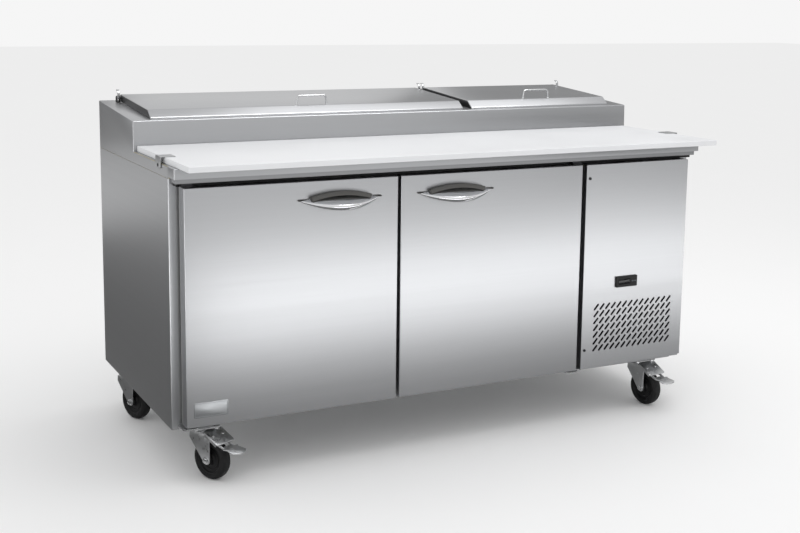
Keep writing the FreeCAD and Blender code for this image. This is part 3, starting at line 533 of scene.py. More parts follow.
def spread_roughness(tree, shader, factor, low, high):
    """Let the roughness run between two values."""
    tree.links.new(spread_between(tree, factor, low, high), shader.inputs["Roughness"])


def tint(tree, shader, value, colour, low, high):
    """Base colour that wanders between two brightnesses of one colour."""
    dark = tuple(c * low for c in colour[:3]) + (1.0,)
    light = tuple(min(c * high, 1.0) for c in colour[:3]) + (1.0,)
    mix = add_node(tree, "ShaderNodeMix", {"Factor": value, 6: dark, 7: light}, data_type="RGBA")
    tree.links.new(mix.outputs[2], shader.inputs["Base Color"])


def relief(tree, shader, value, depth, strength=1.0):
    """Bump of a depth in metres from a height value."""
    bump = add_node(tree, "ShaderNodeBump", {"Height": value, "Distance": depth, "Strength": strength})
    tree.links.new(bump.outputs[0], shader.inputs["Normal"])


def brushed_stainless(name, along, shade=1.0):
    """304 stainless sheet, belt-brushed: long fine lines that smear reflections across the grain."""
    sizes, colours = bpy.context.scene.prep_sizes, bpy.context.scene.prep_colours
    # The shade factor darkens the whole steel; below one it is painted shade.
    colour = tuple(c * shade for c in colours.steel[:3]) + (1.0,)
    material, tree, shader, place = base(name, colour, 0.32, metallic=1.0)
    # real brushed lines are near 0.1 mm wide; these are drawn coarser, so that they show at all
    fine = 1 / sizes.grain
    scale = tuple(fine / 250 if axis == along else fine for axis in "XYZ")
    coarse = tuple(s / 5 for s in scale)
    lines = noise(tree, place, scale)
    bands = noise(tree, place, coarse)
    spread_roughness(tree, shader, bands, 0.31, 0.335)
    tint(tree, shader, lines, colour, 0.96, 1.03)
    relief(tree, shader, lines, 0.012 * MM, 0.4)
    return material


def mill_stainless(name, shine):
    """Cold-rolled stainless with its mill finish: a soft, slightly cloudy shine."""
    colour = srgb("#C3C4C5")
    material, tree, shader, place = base(name, colour, shine, metallic=1.0)
    clouds = noise(tree, place, (9.0, 9.0, 9.0))
    spread_roughness(tree, shader, clouds, shine - 0.04, shine + 0.05)
    tint(tree, shader, clouds, colour, 0.96, 1.03)
    return material


def drawn_stainless(name):
    """Deep-drawn stainless pans, polished after drawing: bright, with faint lines down the walls."""
    colour = srgb("#C9CACB")
    material, tree, shader, place = base(name, colour, 0.2, metallic=1.0)
    lines = noise(tree, place, (260.0, 260.0, 9.0))
    spread_roughness(tree, shader, lines, 0.15, 0.27)
    relief(tree, shader, lines, 0.01 * MM)
    return material


def chrome_plate(name):
    """Zinc die casting, buffed and chromium-plated: near-mirror with a slight orange peel."""
    colour = srgb("#D9DADC")
    material, tree, shader, place = base(name, colour, 0.09, metallic=1.0)
    peel = noise(tree, place, (180.0, 180.0, 180.0), 1.0)
    spread_roughness(tree, shader, peel, 0.07, 0.13)
    relief(tree, shader, peel, 0.01 * MM)
    return material


def zinc_plate(name):
    """Pressed steel with bright electroplated zinc: satin, with cloudy bluish-grey patches."""
    colour = tuple(bpy.context.scene.prep_colours.zinc)
    material, tree, shader, place = base(name, colour, 0.33, metallic=1.0)
    patches = noise(tree, place, (60.0, 60.0, 60.0))
    spread_roughness(tree, shader, patches, 0.25, 0.42)
    tint(tree, shader, patches, colour, 0.86, 1.05)
    relief(tree, shader, noise(tree, place, (900.0, 900.0, 900.0)), 0.01 * MM)
    return material


def blackened_steel(name):
    """Steel hardware with black oxide and oil: near-black, with worn satin highlights."""
    colour = srgb("#3B3B3D")
    material, tree, shader, place = base(name, colour, 0.38, metallic=1.0)
    wear = noise(tree, place, (150.0, 150.0, 150.0))
    spread_roughness(tree, shader, wear, 0.3, 0.5)
    tint(tree, shader, wear, colour, 0.75, 1.4)
    return material


def galvanised_sheet(name):
    """Hot-dip galvanised steel: flat crystals of spangle, each with its own grey."""
    colour = srgb("#A9ADB0")
    material, tree, shader, place = base(name, colour, 0.42, metallic=1.0)
    crystals = add_node(tree, "ShaderNodeTexVoronoi", {"Vector": place, "Scale": 1 / (14 * MM)})
    grey = add_node(tree, "ShaderNodeSeparateColor", {"Color": crystals.outputs["Color"]})
    spread_roughness(tree, shader, grey.outputs[0], 0.36, 0.5)
    tint(tree, shader, grey.outputs[1], colour, 0.86, 1.08)
    return material


def embossed_aluminium(name):
    """Rolled aluminium lining with a stucco emboss: dull silver, finely dimpled."""
    colour = srgb("#C9CBCD")
    material, tree, shader, place = base(name, colour, 0.36, metallic=1.0)
    dimples = add_node(tree, "ShaderNodeTexVoronoi", {"Vector": place, "Scale": 1 / (7 * MM)},
                       feature="SMOOTH_F1")
    relief(tree, shader, dimples.outputs["Distance"], 0.25 * MM, 0.7)
    clouds = noise(tree, place, (7.0, 7.0, 7.0))
    spread_roughness(tree, shader, clouds, 0.32, 0.42)
    return material


def rolled_aluminium(name):
    """Thin rolled aluminium of fins and housings: bright, lightly scratched."""
    colour = srgb("#9C9EA0")
    material, tree, shader, place = base(name, colour, 0.38, metallic=1.0)
    marks = noise(tree, place, (40.0, 40.0, 400.0))
    spread_roughness(tree, shader, marks, 0.28, 0.44)
    tint(tree, shader, marks, colour, 0.9, 1.04)
    return material


def fins_dark_as_painted_shade(name):
    """Aluminium fins made almost black as painted shade for the dark space behind the grille: dull, almost
    black.
    """
    colour = srgb("#101112")
    material, tree, shader, place = base(name, colour, 0.6, IOR=1.5)
    dust = noise(tree, place, (30.0, 30.0, 90.0))
    tint(tree, shader, dust, colour, 0.7, 1.8)
    spread_roughness(tree, shader, dust, 0.5, 0.72)
    return material


def formed_abs(name):
    """White ABS, vacuum-formed: glossy with the soft waviness of formed sheet."""
    colour = tuple(bpy.context.scene.prep_colours.lining)
    material, tree, shader, place = base(name, colour, 0.24, IOR=1.52)
    waves = noise(tree, place, (12.0, 12.0, 12.0), 1.0)
    relief(tree, shader, waves, 0.25 * MM)
    spread_roughness(tree, shader, waves, 0.2, 0.32)
    tint(tree, shader, waves, colour, 0.985, 1.01)
    return material


def extruded_pvc(name):
    """Grey soft PVC gasket, extruded: dull, with fine lines along its length."""
    colour = srgb("#7D7F82")
    material, tree, shader, place = base(name, colour, 0.55, IOR=1.53)
    lines = noise(tree, place, (300.0, 900.0, 300.0), 2.0)
    relief(tree, shader, lines, 0.05 * MM)
    spread_roughness(tree, shader, lines, 0.48, 0.64)
    return material


def polyethylene(name):
    """White HDPE cutting board, pebbled in the press: waxy, with a few fine knife marks."""
    colour = tuple(bpy.context.scene.prep_colours.board)
    material, tree, shader, place = base(name, colour, 0.42, IOR=1.54, Subsurface_Weight=0.06)
    shader.inputs["Subsurface Radius"].default_value = (3 * MM, 3 * MM, 3 * MM)
    pebbles = noise(tree, place, (420.0, 420.0, 420.0), 2.0)
    marks = noise(tree, place, (14.0, 900.0, 900.0), 1.0)
    grooves = add_node(tree, "ShaderNodeMapRange",
                       {"Value": marks, "From Min": 0.68, "From Max": 0.72, "To Min": 0.0, "To Max": -0.5})
    height = add_node(tree, "ShaderNodeMath", {0: pebbles, 1: grooves.outputs[0]}, operation="ADD")
    relief(tree, shader, height.outputs[0], 0.05 * MM)
    wear = noise(tree, place, (6.0, 6.0, 6.0))
    spread_roughness(tree, shader, wear, 0.38, 0.48)
    tint(tree, shader, wear, colour, 0.985, 1.01)
    return material


def moulded_black(name, code, roughness):
    """Black polypropylene or ABS, moulded in a fine-textured tool: even, with a faint sheen."""
    colour = srgb(code)
    material, tree, shader, place = base(name, colour, roughness, IOR=1.49, Specular_IOR_Level=0.25)
    texture = noise(tree, place, (1400.0, 1400.0, 1400.0), 2.0)
    relief(tree, shader, texture, 0.03 * MM)
    handling = noise(tree, place, (25.0, 25.0, 25.0))
    spread_roughness(tree, shader, handling, roughness - 0.05, roughness + 0.07)
    return material


def tyre_rubber(name):
    """Black thermoplastic rubber tread: matt, with dust in the grain and a scuffed running face."""
    colour = tuple(bpy.context.scene.prep_colours.rubber)
    material, tree, shader, place = base(name, colour, 0.55, IOR=1.52, Specular_IOR_Level=0.25)
    dust = noise(tree, place, (90.0, 90.0, 90.0))
    tint(tree, shader, dust, colour, 0.8, 1.5)
    spread_roughness(tree, shader, dust, 0.5, 0.75)
    relief(tree, shader, noise(tree, place, (700.0, 700.0, 700.0)), 0.05 * MM)
    return material


def smoked_acrylic(name):
    """Smoked acrylic window, flame-polished: deep black gloss with a bluish cast."""
    material, tree, shader, place = base(name, srgb("#050608"), 0.08, IOR=1.42)
    smears = noise(tree, place, (90.0, 30.0, 90.0))
    spread_roughness(tree, shader, smears, 0.06, 0.16)
    return material


def drawn_copper(name):
    """Drawn copper tube, brazed at its ends: warm metal with darker heat stains."""
    colour = srgb("#C98E6B")
    material, tree, shader, place = base(name, colour, 0.28, metallic=1.0)
    stains = noise(tree, place, (55.0, 55.0, 55.0))
    tint(tree, shader, stains, colour, 0.6, 1.05)
    spread_roughness(tree, shader, stains, 0.22, 0.42)
    return material


def black_enamel(name):
    """Compressor can in stoved black enamel: glossy, with slight runs and peel."""
    material, tree, shader, place = base(name, srgb("#161617"), 0.22, IOR=1.5, Coat_Weight=0.3)
    peel = noise(tree, place, (130.0, 130.0, 70.0), 1.0)
    relief(tree, shader, peel, 0.08 * MM)
    spread_roughness(tree, shader, peel, 0.17, 0.32)
    return material


def coated_wire(name):
    """Steel wire dip-coated in white epoxy: thick, glossy and slightly uneven."""
    colour = srgb("#E4E4E1")
    material, tree, shader, place = base(name, colour, 0.26, IOR=1.52)
    sag = noise(tree, place, (140.0, 140.0, 140.0), 1.0)
    relief(tree, shader, sag, 0.08 * MM)
    tint(tree, shader, sag, colour, 0.96, 1.02)
    return material


def rigid_foam(name):
    """Cut polyurethane foam board: pale yellow, open cells on its faces."""
    colour = srgb("#DCCF9F")
    material, tree, shader, place = base(name, colour, 0.9, IOR=1.4)
    cells = add_node(tree, "ShaderNodeTexVoronoi", {"Vector": place, "Scale": 1 / (2 * MM)})
    relief(tree, shader, cells.outputs["Distance"], 0.4 * MM)
    tint(tree, shader, noise(tree, place, (20.0, 20.0, 20.0)), colour, 0.85, 1.05)
    return material


def studio_paint(name):
    """Matt painted studio floor: pale, with barely visible roller marks."""
    colour = tuple(bpy.context.scene.prep_colours.floor)
    material, tree, shader, place = base(name, colour, 0.85, Specular_IOR_Level=0.0)
    rolled = noise(tree, place, (3.0, 0.6, 1.0))
    tint(tree, shader, rolled, colour, 0.995, 1.005)
    return material


MAKERS = {
    "brushed_stainless_along_x": lambda name: brushed_stainless(name, "X"),
    "brushed_stainless_along_y": lambda name: brushed_stainless(name, "Y"),
    # Darker copies of the brushed steel, for the lid end flanges and the header strip: painted shade.
    "painted_shade_stainless_flange": lambda name: brushed_stainless(name, "Y", 0.3),
    "painted_shade_stainless_strip": lambda name: brushed_stainless(name, "X", 0.62),
    "mill_stainless": lambda name: mill_stainless(name, 0.26),
    "bright_stainless_rod": lambda name: mill_stainless(name, 0.16),
    "drawn_stainless": drawn_stainless,
    "chrome_plate": chrome_plate,
    "zinc_plate": zinc_plate,
    "blackened_steel": blackened_steel,
    "galvanised_sheet": galvanised_sheet,
    "embossed_aluminium": embossed_aluminium,
    "rolled_aluminium": rolled_aluminium,
    "fins_dark_as_painted_shade": fins_dark_as_painted_shade,
    "formed_abs": formed_abs,
    "extruded_pvc": extruded_pvc,
    "polyethylene": polyethylene,
    "moulded_black": lambda name: moulded_black(name, "#101011", 0.42),
    # Dark grey of the handle grips; on their flat tabs this dark grey is painted shade.
    "moulded_grey_and_painted_shade": lambda name: moulded_black(name, "#565553", 0.46),
    "moulded_button": lambda name: moulded_black(name, "#5B5E63", 0.5),
    "moulded_digits": lambda name: moulded_black(name, "#1E2023", 0.4),
    "tyre_rubber": tyre_rubber,
    "smoked_acrylic": smoked_acrylic,
    "drawn_copper": drawn_copper,
    "black_enamel": black_enamel,
    "coated_wire": coated_wire,
    "rigid_foam": rigid_foam,
    "studio_paint": studio_paint,
}


def material(name):
    """A finish by its name, made the first time it is asked for."""
    return bpy.data.materials.get(name) or MAKERS[name](name)


# ---- cabinet -------------------------------------------------------------------------
def cabinet_skins():
    """Side panels with rounded folds, and the carried-over sheets behind them."""
    fold, tall = bpy.context.scene.prep_sizes.fold, 0.3
    for side in SIDES:
        node = "side_panel_" + side
        low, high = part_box(node)
        outer = low.x if side == "left" else high.x

        def on_fold(a, b):
            outside = abs(a.x - outer) < SNAP and abs(b.x - outer) < SNAP and abs(a.z - b.z) > tall
            return outside and any(abs(a.y - y) < SNAP and abs(b.y - y) < SNAP for y in (low.y, high.y))

        piece = round_edges(copy_of(node, node + "_folded"), on_fold, fold)
        finish(piece, "cabinet", material("brushed_stainless_along_y"), [node])
    for node in ("base_panel", "machine_wall", "front_frame"):
        paint(node, material("mill_stainless"))
    paint("foam_core", material("rigid_foam"))
    paint("cabinet_liner", material("embossed_aluminium"))
    # The strip in the recess is black trim, and its black also stands in for the shade of the gap: partly
    # painted shade.
    paint("recess_strip", material("moulded_black"))
    # The header strip under the apron gets the brushed steel darkened: painted shade in the recess.
    strip = ease(copy_of("header_strip", "header_strip_folded"), 1.2 * MM)
    finish(strip, "cabinet", material("painted_shade_stainless_strip"), ["header_strip"])


def work_deck():
    """Deck sheet with its apron: folded edges rounded, ends closed."""
    low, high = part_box("work_deck")
    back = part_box("rail_housing")[0].y
    outline = [(low.y, low.z), (low.y, high.z), (back, high.z), (back, low.z)]
    piece = folded("work_deck_folded", outline, low.x, high.x,
                   lambda face: face.normal.z < -0.5 or face.normal.y > 0.5)
    pick_edges(piece, lambda *ends: all(abs(p.y - back) < SNAP and abs(p.z - high.z) < SNAP for p in ends))
    bpy.ops.mesh.extrude_edges_move(TRANSFORM_OT_translate={"value": (0, high.y - back, 0)})
    leave()
    thicken(piece)
    finish(smooth(piece), "cabinet", material("brushed_stainless_along_x"), ["work_deck"])


def pan_rail():
    """Raised rail folded from one sheet, with a lipped opening for each bay of pans."""
    low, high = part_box("rail_housing")
    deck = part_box("work_deck")[1].z - SHEET
    front, back = RAIL_LOW.y, high.y
    outline = [(low.y, low.z), (low.y, deck), (front, deck), (front, RAIL_FRONT_Z),
               (back, RAIL_HIGH.z), (back, low.z)]

    def is_open(face):
        under = face.normal.z < -0.5
        deck_front = face.center.y < low.y + MM or (face.center.y < front and face.normal.z > 0.5)
        return under or deck_front

    shell = thicken(folded("pan_rail_folded", outline, low.x, high.x, is_open))
    lip, drop, through = 6 * MM, 14 * MM, 0.2
    lips = []
    for side in SIDES:
        near, far = rail_box("pans_" + side)
        corner = Vector((near.x + lip, near.y + lip, -through))
        opposite = Vector((far.x - lip, far.y - lip, through))
        tool = settle(block("bay", corner, opposite), RAIL)
        ease(tool, 4 * MM, 3)
        cut(shell, tool)
        outline = [(corner.x, corner.y), (opposite.x, corner.y), (opposite.x, opposite.y),
                   (corner.x, opposite.y)]
        edge = loop("bay_lip_" + side, outline, False)
        edit(edge, "EDGE")
        bpy.ops.mesh.extrude_edges_move(TRANSFORM_OT_translate={"value": (0, 0, -drop)})
        leave()
        outward(edge)
        modify(edge, "SOLIDIFY", thickness=SHEET, offset=1)
        lips.append(settle(edge, RAIL @ Matrix.Translation((0, 0, -SHEET))))
    shell = smooth(join("pan_rail_folded", [shell] + lips))
    finish(shell, "cabinet", material("brushed_stainless_along_x"),
           ["rail_housing", "rail_top_frame"])


def pan_row(side):
    """Corners of a row of pans along the rail, their count and the width of one."""
    near, far = rail_box("pans_" + side)
    count = round((far.x - near.x) / PAN_PITCH)
    return near, far, count, far.x - near.x - (count - 1) * PAN_PITCH


def drawn_pan(name):
    """One third-size pan about its own middle: tapered well, round corners, flat rolled rim."""
    near, far, _, width = pan_row("left")
    length, depth = far.y - near.y, far.z - near.z
    rim, taper = 11 * MM, 9 * MM
    piece = block(name, (-width / 2 + rim, -length / 2 + rim, -depth), (width / 2 - rim, length / 2 - rim, 0))
    pick(piece, "VERT", lambda vertex: vertex.co.z < -depth / 2)
    half_x, half_y = width / 2 - rim, length / 2 - rim
    shrink = ((half_x - taper) / half_x, (half_y - taper) / half_y, 1)
    bpy.ops.transform.resize(value=shrink)
    leave()
    pick_edges(piece, lambda a, b: abs(a.z - b.z) > depth / 2)
    round_picked(24 * MM, 6)
    pick(piece, "FACE", lambda face: face.normal.z > 0.9)
    bpy.ops.mesh.delete(type="ONLY_FACE")
    leave()
    pick_edges(piece, lambda a, b: max(a.z, b.z) < -depth + MM)
    round_picked(13 * MM, 4)
    pick_edges(piece, lambda a, b: min(a.z, b.z) > -MM)
    bpy.ops.mesh.extrude_edges_move(TRANSFORM_OT_translate={"value": (0, 0, 0)})
    bpy.ops.transform.resize(value=(width / (width - 2 * rim), length / (length - 2 * rim), 1))
    leave()
    outward(piece)
    inner_x, inner_y = width / 2 - rim / 2, length / 2 - rim / 2
    pick_edges(piece, lambda *ends: all(
        p.z > -MM and abs(p.x) < inner_x and abs(p.y) < inner_y for p in ends))
    round_picked(2.5 * MM)
    modify(piece, "SOLIDIFY", thickness=0.9 * MM, offset=0)
    return smooth(piece)


def pans():
    """Nine pans in their two bays, and the channel bars between them."""
    pattern = drawn_pan("pan_pattern")
    for side in SIDES:
        near, far, count, width = pan_row(side)
        row = []
        for i in range(count):
            middle = Vector((near.x + i * PAN_PITCH + width / 2, (near.y + far.y) / 2, far.z - 0.5 * MM))
            row.append(again(pattern, "pan", RAIL @ Matrix.Translation(middle)))
        piece = join("pans_" + side + "_drawn", row)
        finish(smooth(piece), "pan_set_" + side, material("drawn_stainless"), ["pans_" + side])
    bpy.data.objects.remove(pattern)
    bars = ease(copy_of("pan_divider_bars", "pan_divider_channels"), 1.5 * MM)
    finish(bars, "cabinet", material("mill_stainless"), ["pan_divider_bars"])


# ---- lids ----------------------------------------------------------------------------
def lids():
    """Folded lids with slanted fronts, and their bent rod handles."""
    slant, lip, heel = 31 * MM, 3 * MM, (12 * MM, 9.2 * MM)
    for side in SIDES:
        low, high = rail_box("lid_" + side)
        outline = [(low.y, low.z), (low.y, low.z + lip), (low.y + slant, high.z), (high.y, high.z),
                   (high.y, low.z + heel[1]), (high.y - heel[0], low.z)]
        piece = folded("lid_%s_folded" % side, outline, low.x, high.x, lambda face: face.normal.z < -0.3)
        settle(smooth(thicken(piece)), RAIL)
        finish(piece, "lid_assembly_" + side, material("brushed_stainless_along_x"),
               ["lid_" + side])
        # The lid end flanges get the brushed steel darkened to a third: painted shade.
        second_material(piece, material("painted_shade_stainless_flange"), lambda face: abs(face.normal.x) > 0.95)
        lid_handle(side, high.z)


def lid_handle(side, top):
    """Bent rod handle with slightly splayed feet and a weld collar round each."""
    low, high = rail_box("lid_handle_" + side)
    radius = (high.y - low.y) / 2
    y, splay = (low.y + high.y) / 2, 3 * MM
    left, right, bar = low.x + radius, high.x - radius, high.z - radius
    base = top - MM / 2
    corners = [(left, y, base), (left + splay, y, bar), (right - splay, y, bar), (right, y, base)]
    rod = wires("rod", [[RAIL @ point for point in bent(corners, 10 * MM)]], radius, sides=5)
    collars = []
    for x in (left, right):
        profile = [(radius * 0.8, 0), (radius * 1.6, 0), (radius * 1.35, 0.8 * MM), (radius * 0.8, 1.6 * MM)]
        collars.append(lathe("collar", profile, RAIL @ Matrix.Translation((x, y, top)), 20))
    piece = join("lid_handle_%s_rod" % side, [rod] + collars)
    finish(piece, "lid_assembly_" + side, material("bright_stainless_rod"),
           ["lid_handle_" + side])


def lid_hinges():
    """Hinge ears at the lid ends: blackened foot and cheeks, pale curved hook, pin with its head."""
    pieces, hooks = [], []
    gap, width, leaf = 2 * MM, 12 * MM, 3 * MM
    flat = RAIL.inverted()
    head = mm((0, 0), (5, 0), (4.4, 1.6), (0, 2.4))
    for side in SIDES:
        low, high = rail_box("lid_" + side)
        pivot = flat @ Vector(JOINTS["lid_%s_hinge" % side]["pos_m"])
        y = pivot.y
        cheek = [(y - 9 * MM, 0.3 * MM), (y + 11 * MM, 0.3 * MM), (y + 9.5 * MM, 14 * MM)]
        cheek += arc((y + 2 * MM, 12.5 * MM), 7.4 * MM, 10, 170, 8) + [(y - 8.5 * MM, 4 * MM)]
        bow = (y + 6 * MM, 27 * MM)
        hook = [(y - 7 * MM, 12 * MM), (y - 7 * MM, 27 * MM)] + arc(bow, 13 * MM, 180, 75, 8)
        hook += arc(bow, 9.4 * MM, 75, 180, 8) + [(y - 3.4 * MM, 12 * MM)]
        for x, way in ((low.x, -1), (high.x, 1)):
            far = x + way * (gap + width)
            start = min(far, x + way * gap)

            def standing(offset):
                return RAIL @ Matrix.Translation((start + offset, 0, 0)) @ ON_END

            for offset in (0, width - leaf):
                pieces.append(ease(slab("cheek", cheek, leaf, standing(offset)), 0.6 * MM))
            foot = block("foot", (start, y - 9 * MM, 0.3 * MM), (start + width, y + 11 * MM, 3 * MM))
            pieces.append(ease(settle(foot, RAIL), 0.5 * MM))
            end = RAIL @ Vector((far, y, pivot.z))
            pieces.append(lathe("head", head, aim(end, RAIL.to_3x3() @ Vector((way, 0, 0))), 24))
            pieces.append(drum("pin", end, RAIL @ Vector((x - way * 4 * MM, y, pivot.z)), 3 * MM, 24))
            hooks.append(ease(slab("hook", hook, 9 * MM, standing(1.5 * MM)), 0.8 * MM))
    finish(smooth(join("lid_hinge_ears", pieces)), "cabinet", material("blackened_steel"),
           ["lid_hinge_brackets"])
    finish(join("lid_hinge_hooks", hooks), "cabinet", material("zinc_plate"))


# ---- board ---------------------------------------------------------------------------
def board():
    """Cutting board, copied from its node, and the clips that hold its ends."""
    piece = copy_of("cutting_board", "cutting_board_pressed")
    finish(piece, "board", material("polyethylene"), ["cutting_board"])
    low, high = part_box("board_clips")
    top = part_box("cutting_board")[1].z
    middle, half = (low.y + high.y) / 2, (high.y - low.y) / 2
    plates, screws = [], []
    head, sheet, curve, reach = 2.2 * MM, 1.5 * MM, 6 * MM, 44.5 * MM
    profile = mm((0, 0), (5, 0), (5, 0.7), (3.6, 1.7), (0, 2.1))
    leg = [(middle - half, top + 2.3 * MM)] + arc((middle - half + curve, low.z + curve), curve, 180, 270, 5)
    leg += arc((middle + half - curve, low.z + curve), curve, 270, 360, 5) + [(middle + half, top + 2.3 * MM)]
    for way, x in ((-1, low.x + head), (1, high.x - head)):
        start = x if way < 0 else x - sheet
        plate = slab("leg", leg, sheet, Matrix.Translation((start, 0, 0)) @ ON_END)
        near, far = sorted((x, x - way * reach))
        tab = block("tab", (near, low.y, top + 0.6 * MM), (far, high.y, top + 2.1 * MM))
        near, far = sorted((x - way * sheet, x - way * 2.9 * MM))
        spacer = block("spacer", (near, low.y + 4 * MM, low.z + 2 * MM),
                       (far, high.y - 4 * MM, top - 22 * MM))
        plates += [ease(plate, 0.4 * MM), ease(tab, 0.5 * MM), spacer]
        screws.append(lathe("screw", profile, aim((x, middle, low.z + 8 * MM), (way, 0, 0)), 24))
    finish(join("board_clip_plates", plates), "cabinet", material("zinc_plate"),
           ["board_clips"])
    finish(join("board_clip_screws", screws), "cabinet", material("blackened_steel"))


# ---- doors ---------------------------------------------------------------------------
def doors():
    """Skins, formed inner panels, layered gaskets and hinge plates."""
    for side in SIDES:
        body = "door_" + side
        skin = copy_of("door_skin_" + side, "door_skin_%s_folded" % side)
        finish(skin, body, material("brushed_stainless_along_x"), ["door_skin_" + side])
        inner = ease(copy_of("door_inner_panel_" + side, "door_inner_panel_%s_formed" % side), 2 * MM, 3, 50)
        finish(inner, body, material("formed_abs"), ["door_inner_panel_" + side])
        gasket(side)
    plates = ease(copy_of("door_hinge_brackets", "door_hinge_plates"), 0.7 * MM)
    finish(plates, "cabinet", material("mill_stainless"), ["door_hinge_brackets"])
    second_material(plates, material("blackened_steel"), lambda face: face.center.z > 0.5)
    hinge_screws()


def gasket(side):
    """Magnetic gasket: wide foot, narrow bellows and a soft magnet strip in front."""
    low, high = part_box("door_gasket_" + side)
    depth, width = high.y - low.y, 16 * MM
    layers = ((0.0, 0.32, 0.0), (0.32, 0.68, 0.25), (0.68, 1.0, 0.06))
    rings = []
    for start, stop, inset in layers:
        inset *= width
        corner = (low.x + inset, low.y + depth * start, low.z + inset)
        opposite = (high.x - inset, low.y + depth * stop, high.z - inset)
        rings.append(ease(ring("layer", corner, opposite, width - 2 * inset), 1.2 * MM, 3))
    piece = join("door_gasket_%s_extruded" % side, rings)
    finish(piece, "door_" + side, material("extruded_pvc"), ["door_gasket_" + side])


def screw_head(name, at, direction, radius):
    """Pan head with a cross recess."""
    height = radius * 0.55
    profile = [(0, 0), (radius, 0), (radius, height * 0.35), (radius * 0.8, height * 0.8),
               (radius * 0.4, height), (0, height)]
    head = lathe(name, profile, None, 20)
    for turn in (0, 90):
        reach, slot = radius * 0.55, radius * 0.09
        arm = block("arm", (-reach, -slot, height * 0.55), (reach, slot, height * 2))
        arm.rotation_euler.z = math.radians(turn)
        cut(head, settle(arm))
    return settle(head, aim(at, direction))


def hinge_screws():
    """Screws in the upright leaves of the bottom hinge plates."""
    heads = []
    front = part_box("header_strip")[1].y - 3 * MM
    for side in SIDES:
        x = JOINTS["door_%s_hinge" % side]["pos_m"][0]
        for dx in (-13, 16):
            heads.append(screw_head("head", (x + dx * MM, front, 161 * MM), (0, -1, 0), 3.4 * MM))
    finish(join("hinge_plate_screws", heads), "cabinet", material("zinc_plate"))


def door_handles():
    """Chromed bow handles: a dished lens-shaped plate under a dark arched grip with two flat tabs."""
    for side in SIDES:
        low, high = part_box("door_handle_" + side)
        x, half = (low.x + high.x) / 2, (high.x - low.x) / 2
        reach = DOOR_FRONT - low.y
        z = high.z - 16 * MM
        body = "door_" + side
        bow = handle_bow(x, z, half, reach)
        bow.name = "door_handle_%s_bow" % side
        finish(bow, body, material("chrome_plate"), ["door_handle_" + side])
        # The flat tabs share the grip's dark grey, which on them is painted shade.
        tabs = [handle_tab(x, z, half, way) for way in (-1, 1)]
        grip = join("door_handle_%s_grip" % side, [handle_grip(x, z)] + tabs)
        finish(grip, body, material("moulded_grey_and_painted_shade"))


def handle_bow(x, z, half, reach):
    """Dished plate: set back at its top edge, fullest low down, with its lip rolled under."""
    fullest, lip = 0.75, 0.15
    deselect()
    bpy.ops.mesh.primitive_grid_add(x_subdivisions=36, y_subdivisions=14, size=2)
    piece = named("bow")
    for vertex in piece.data.vertices:
        s, t = vertex.co.x, (1 - vertex.co.y) / 2
        open_by = 1 - s * s
        bow = math.cos(s * math.pi / 2) ** 1.15
        top, bottom = z - 2 * MM + 9 * MM * open_by, z - 2 * MM - 31 * MM * open_by
        fullness = 0.12 + 0.88 * math.sin(min(t / fullest, 1.0) * math.pi / 2)
        fullness -= lip * max(t - fullest, 0) / (1 - fullest)
        height = top + (bottom - top) * t
        vertex.co = (x + s * half, DOOR_FRONT - 0.8 * MM - (reach - 1.5 * MM) * bow * fullness, height)
    outward(piece)
    modify(piece, "SOLIDIFY", thickness=2.4 * MM, offset=-1)
    return smooth(ease(piece, 0.7 * MM, 2, 50), 60)


def handle_tab(x, z, half, way):
    """Flat tab at one end, with a round tip."""
    width, height = 44 * MM, 5 * MM
    outline = rounded(width, height, 3 * MM, 4)
    place = Matrix.Translation((x + way * (half - width / 2), DOOR_FRONT - 0.1 * MM, z - 1.5 * MM)) @ ON_FACE
    return ease(slab("tab", outline, 4 * MM, place), 0.6 * MM)


def handle_grip(x, z):
    """Arched bar above the bow with blunt ends."""
    radius, span, thick, deep = 339 * MM, 16.2, 13 * MM, 17 * MM
    centre = (x, z + 21 * MM - radius)
    outline = arc(centre, radius, 90 - span, 90 + span, 24)
    outline += arc(centre, radius - thick, 90 + span, 90 - span, 24)
    grip = slab("grip", outline, deep, Matrix.Translation((0, DOOR_FRONT - 0.5 * MM, 0)) @ ON_FACE)
    return ease(grip, 1.6 * MM, 3)


def nameplate():
    """Plain blank plate with a raised border, low on the left door."""
    low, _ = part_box("door_skin_left")
    width, height = 100 * MM, 44 * MM
    centre = Vector((low.x + 70 * MM, low.y, low.z + 48 * MM))
    place = Matrix.Translation(centre) @ ON_FACE
    plate = ease(slab("plate", rounded(width, height, 4 * MM), 1.0 * MM, place), 0.3 * MM)
    rim = ring("rim", (centre.x - width / 2 + 2 * MM, low.y - 1.6 * MM, centre.z - height / 2 + 2 * MM),
               (centre.x + width / 2 - 2 * MM, low.y - 0.9 * MM, centre.z + height / 2 - 2 * MM), 1.6 * MM)
    piece = join("blank_nameplate", [plate, ease(rim, 0.3 * MM)])
    finish(piece, "door_left", material("rolled_aluminium"))


# ---- service panel and controller ----------------------------------------------------
def service_panel():
    """Grille panel with rounded front folds, and its screws."""
    low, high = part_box("service_panel")
    notch = 60 * MM

    def on_fold(a, b):
        front = abs(a.y - low.y) < SNAP and abs(b.y - low.y) < SNAP
        upright = abs(a.x - b.x) < SNAP and min(abs(a.x - low.x), abs(a.x - high.x)) < SNAP
        level = abs(a.z - b.z) < SNAP and min(abs(a.z - low.z), abs(a.z - high.z)) < SNAP
        return front and (upright or level) and (a - b).length > notch

    panel = round_edges(copy_of("service_panel", "service_panel_folded"), on_fold, 1.6 * MM)
    finish(panel, "service_door", material("brushed_stainless_along_x"), ["service_panel"])
    screws = ease(copy_of("panel_screws", "panel_screw_heads"), 0.5 * MM, 2, 60)
    finish(screws, "service_door", material("blackened_steel"), ["panel_screws"])


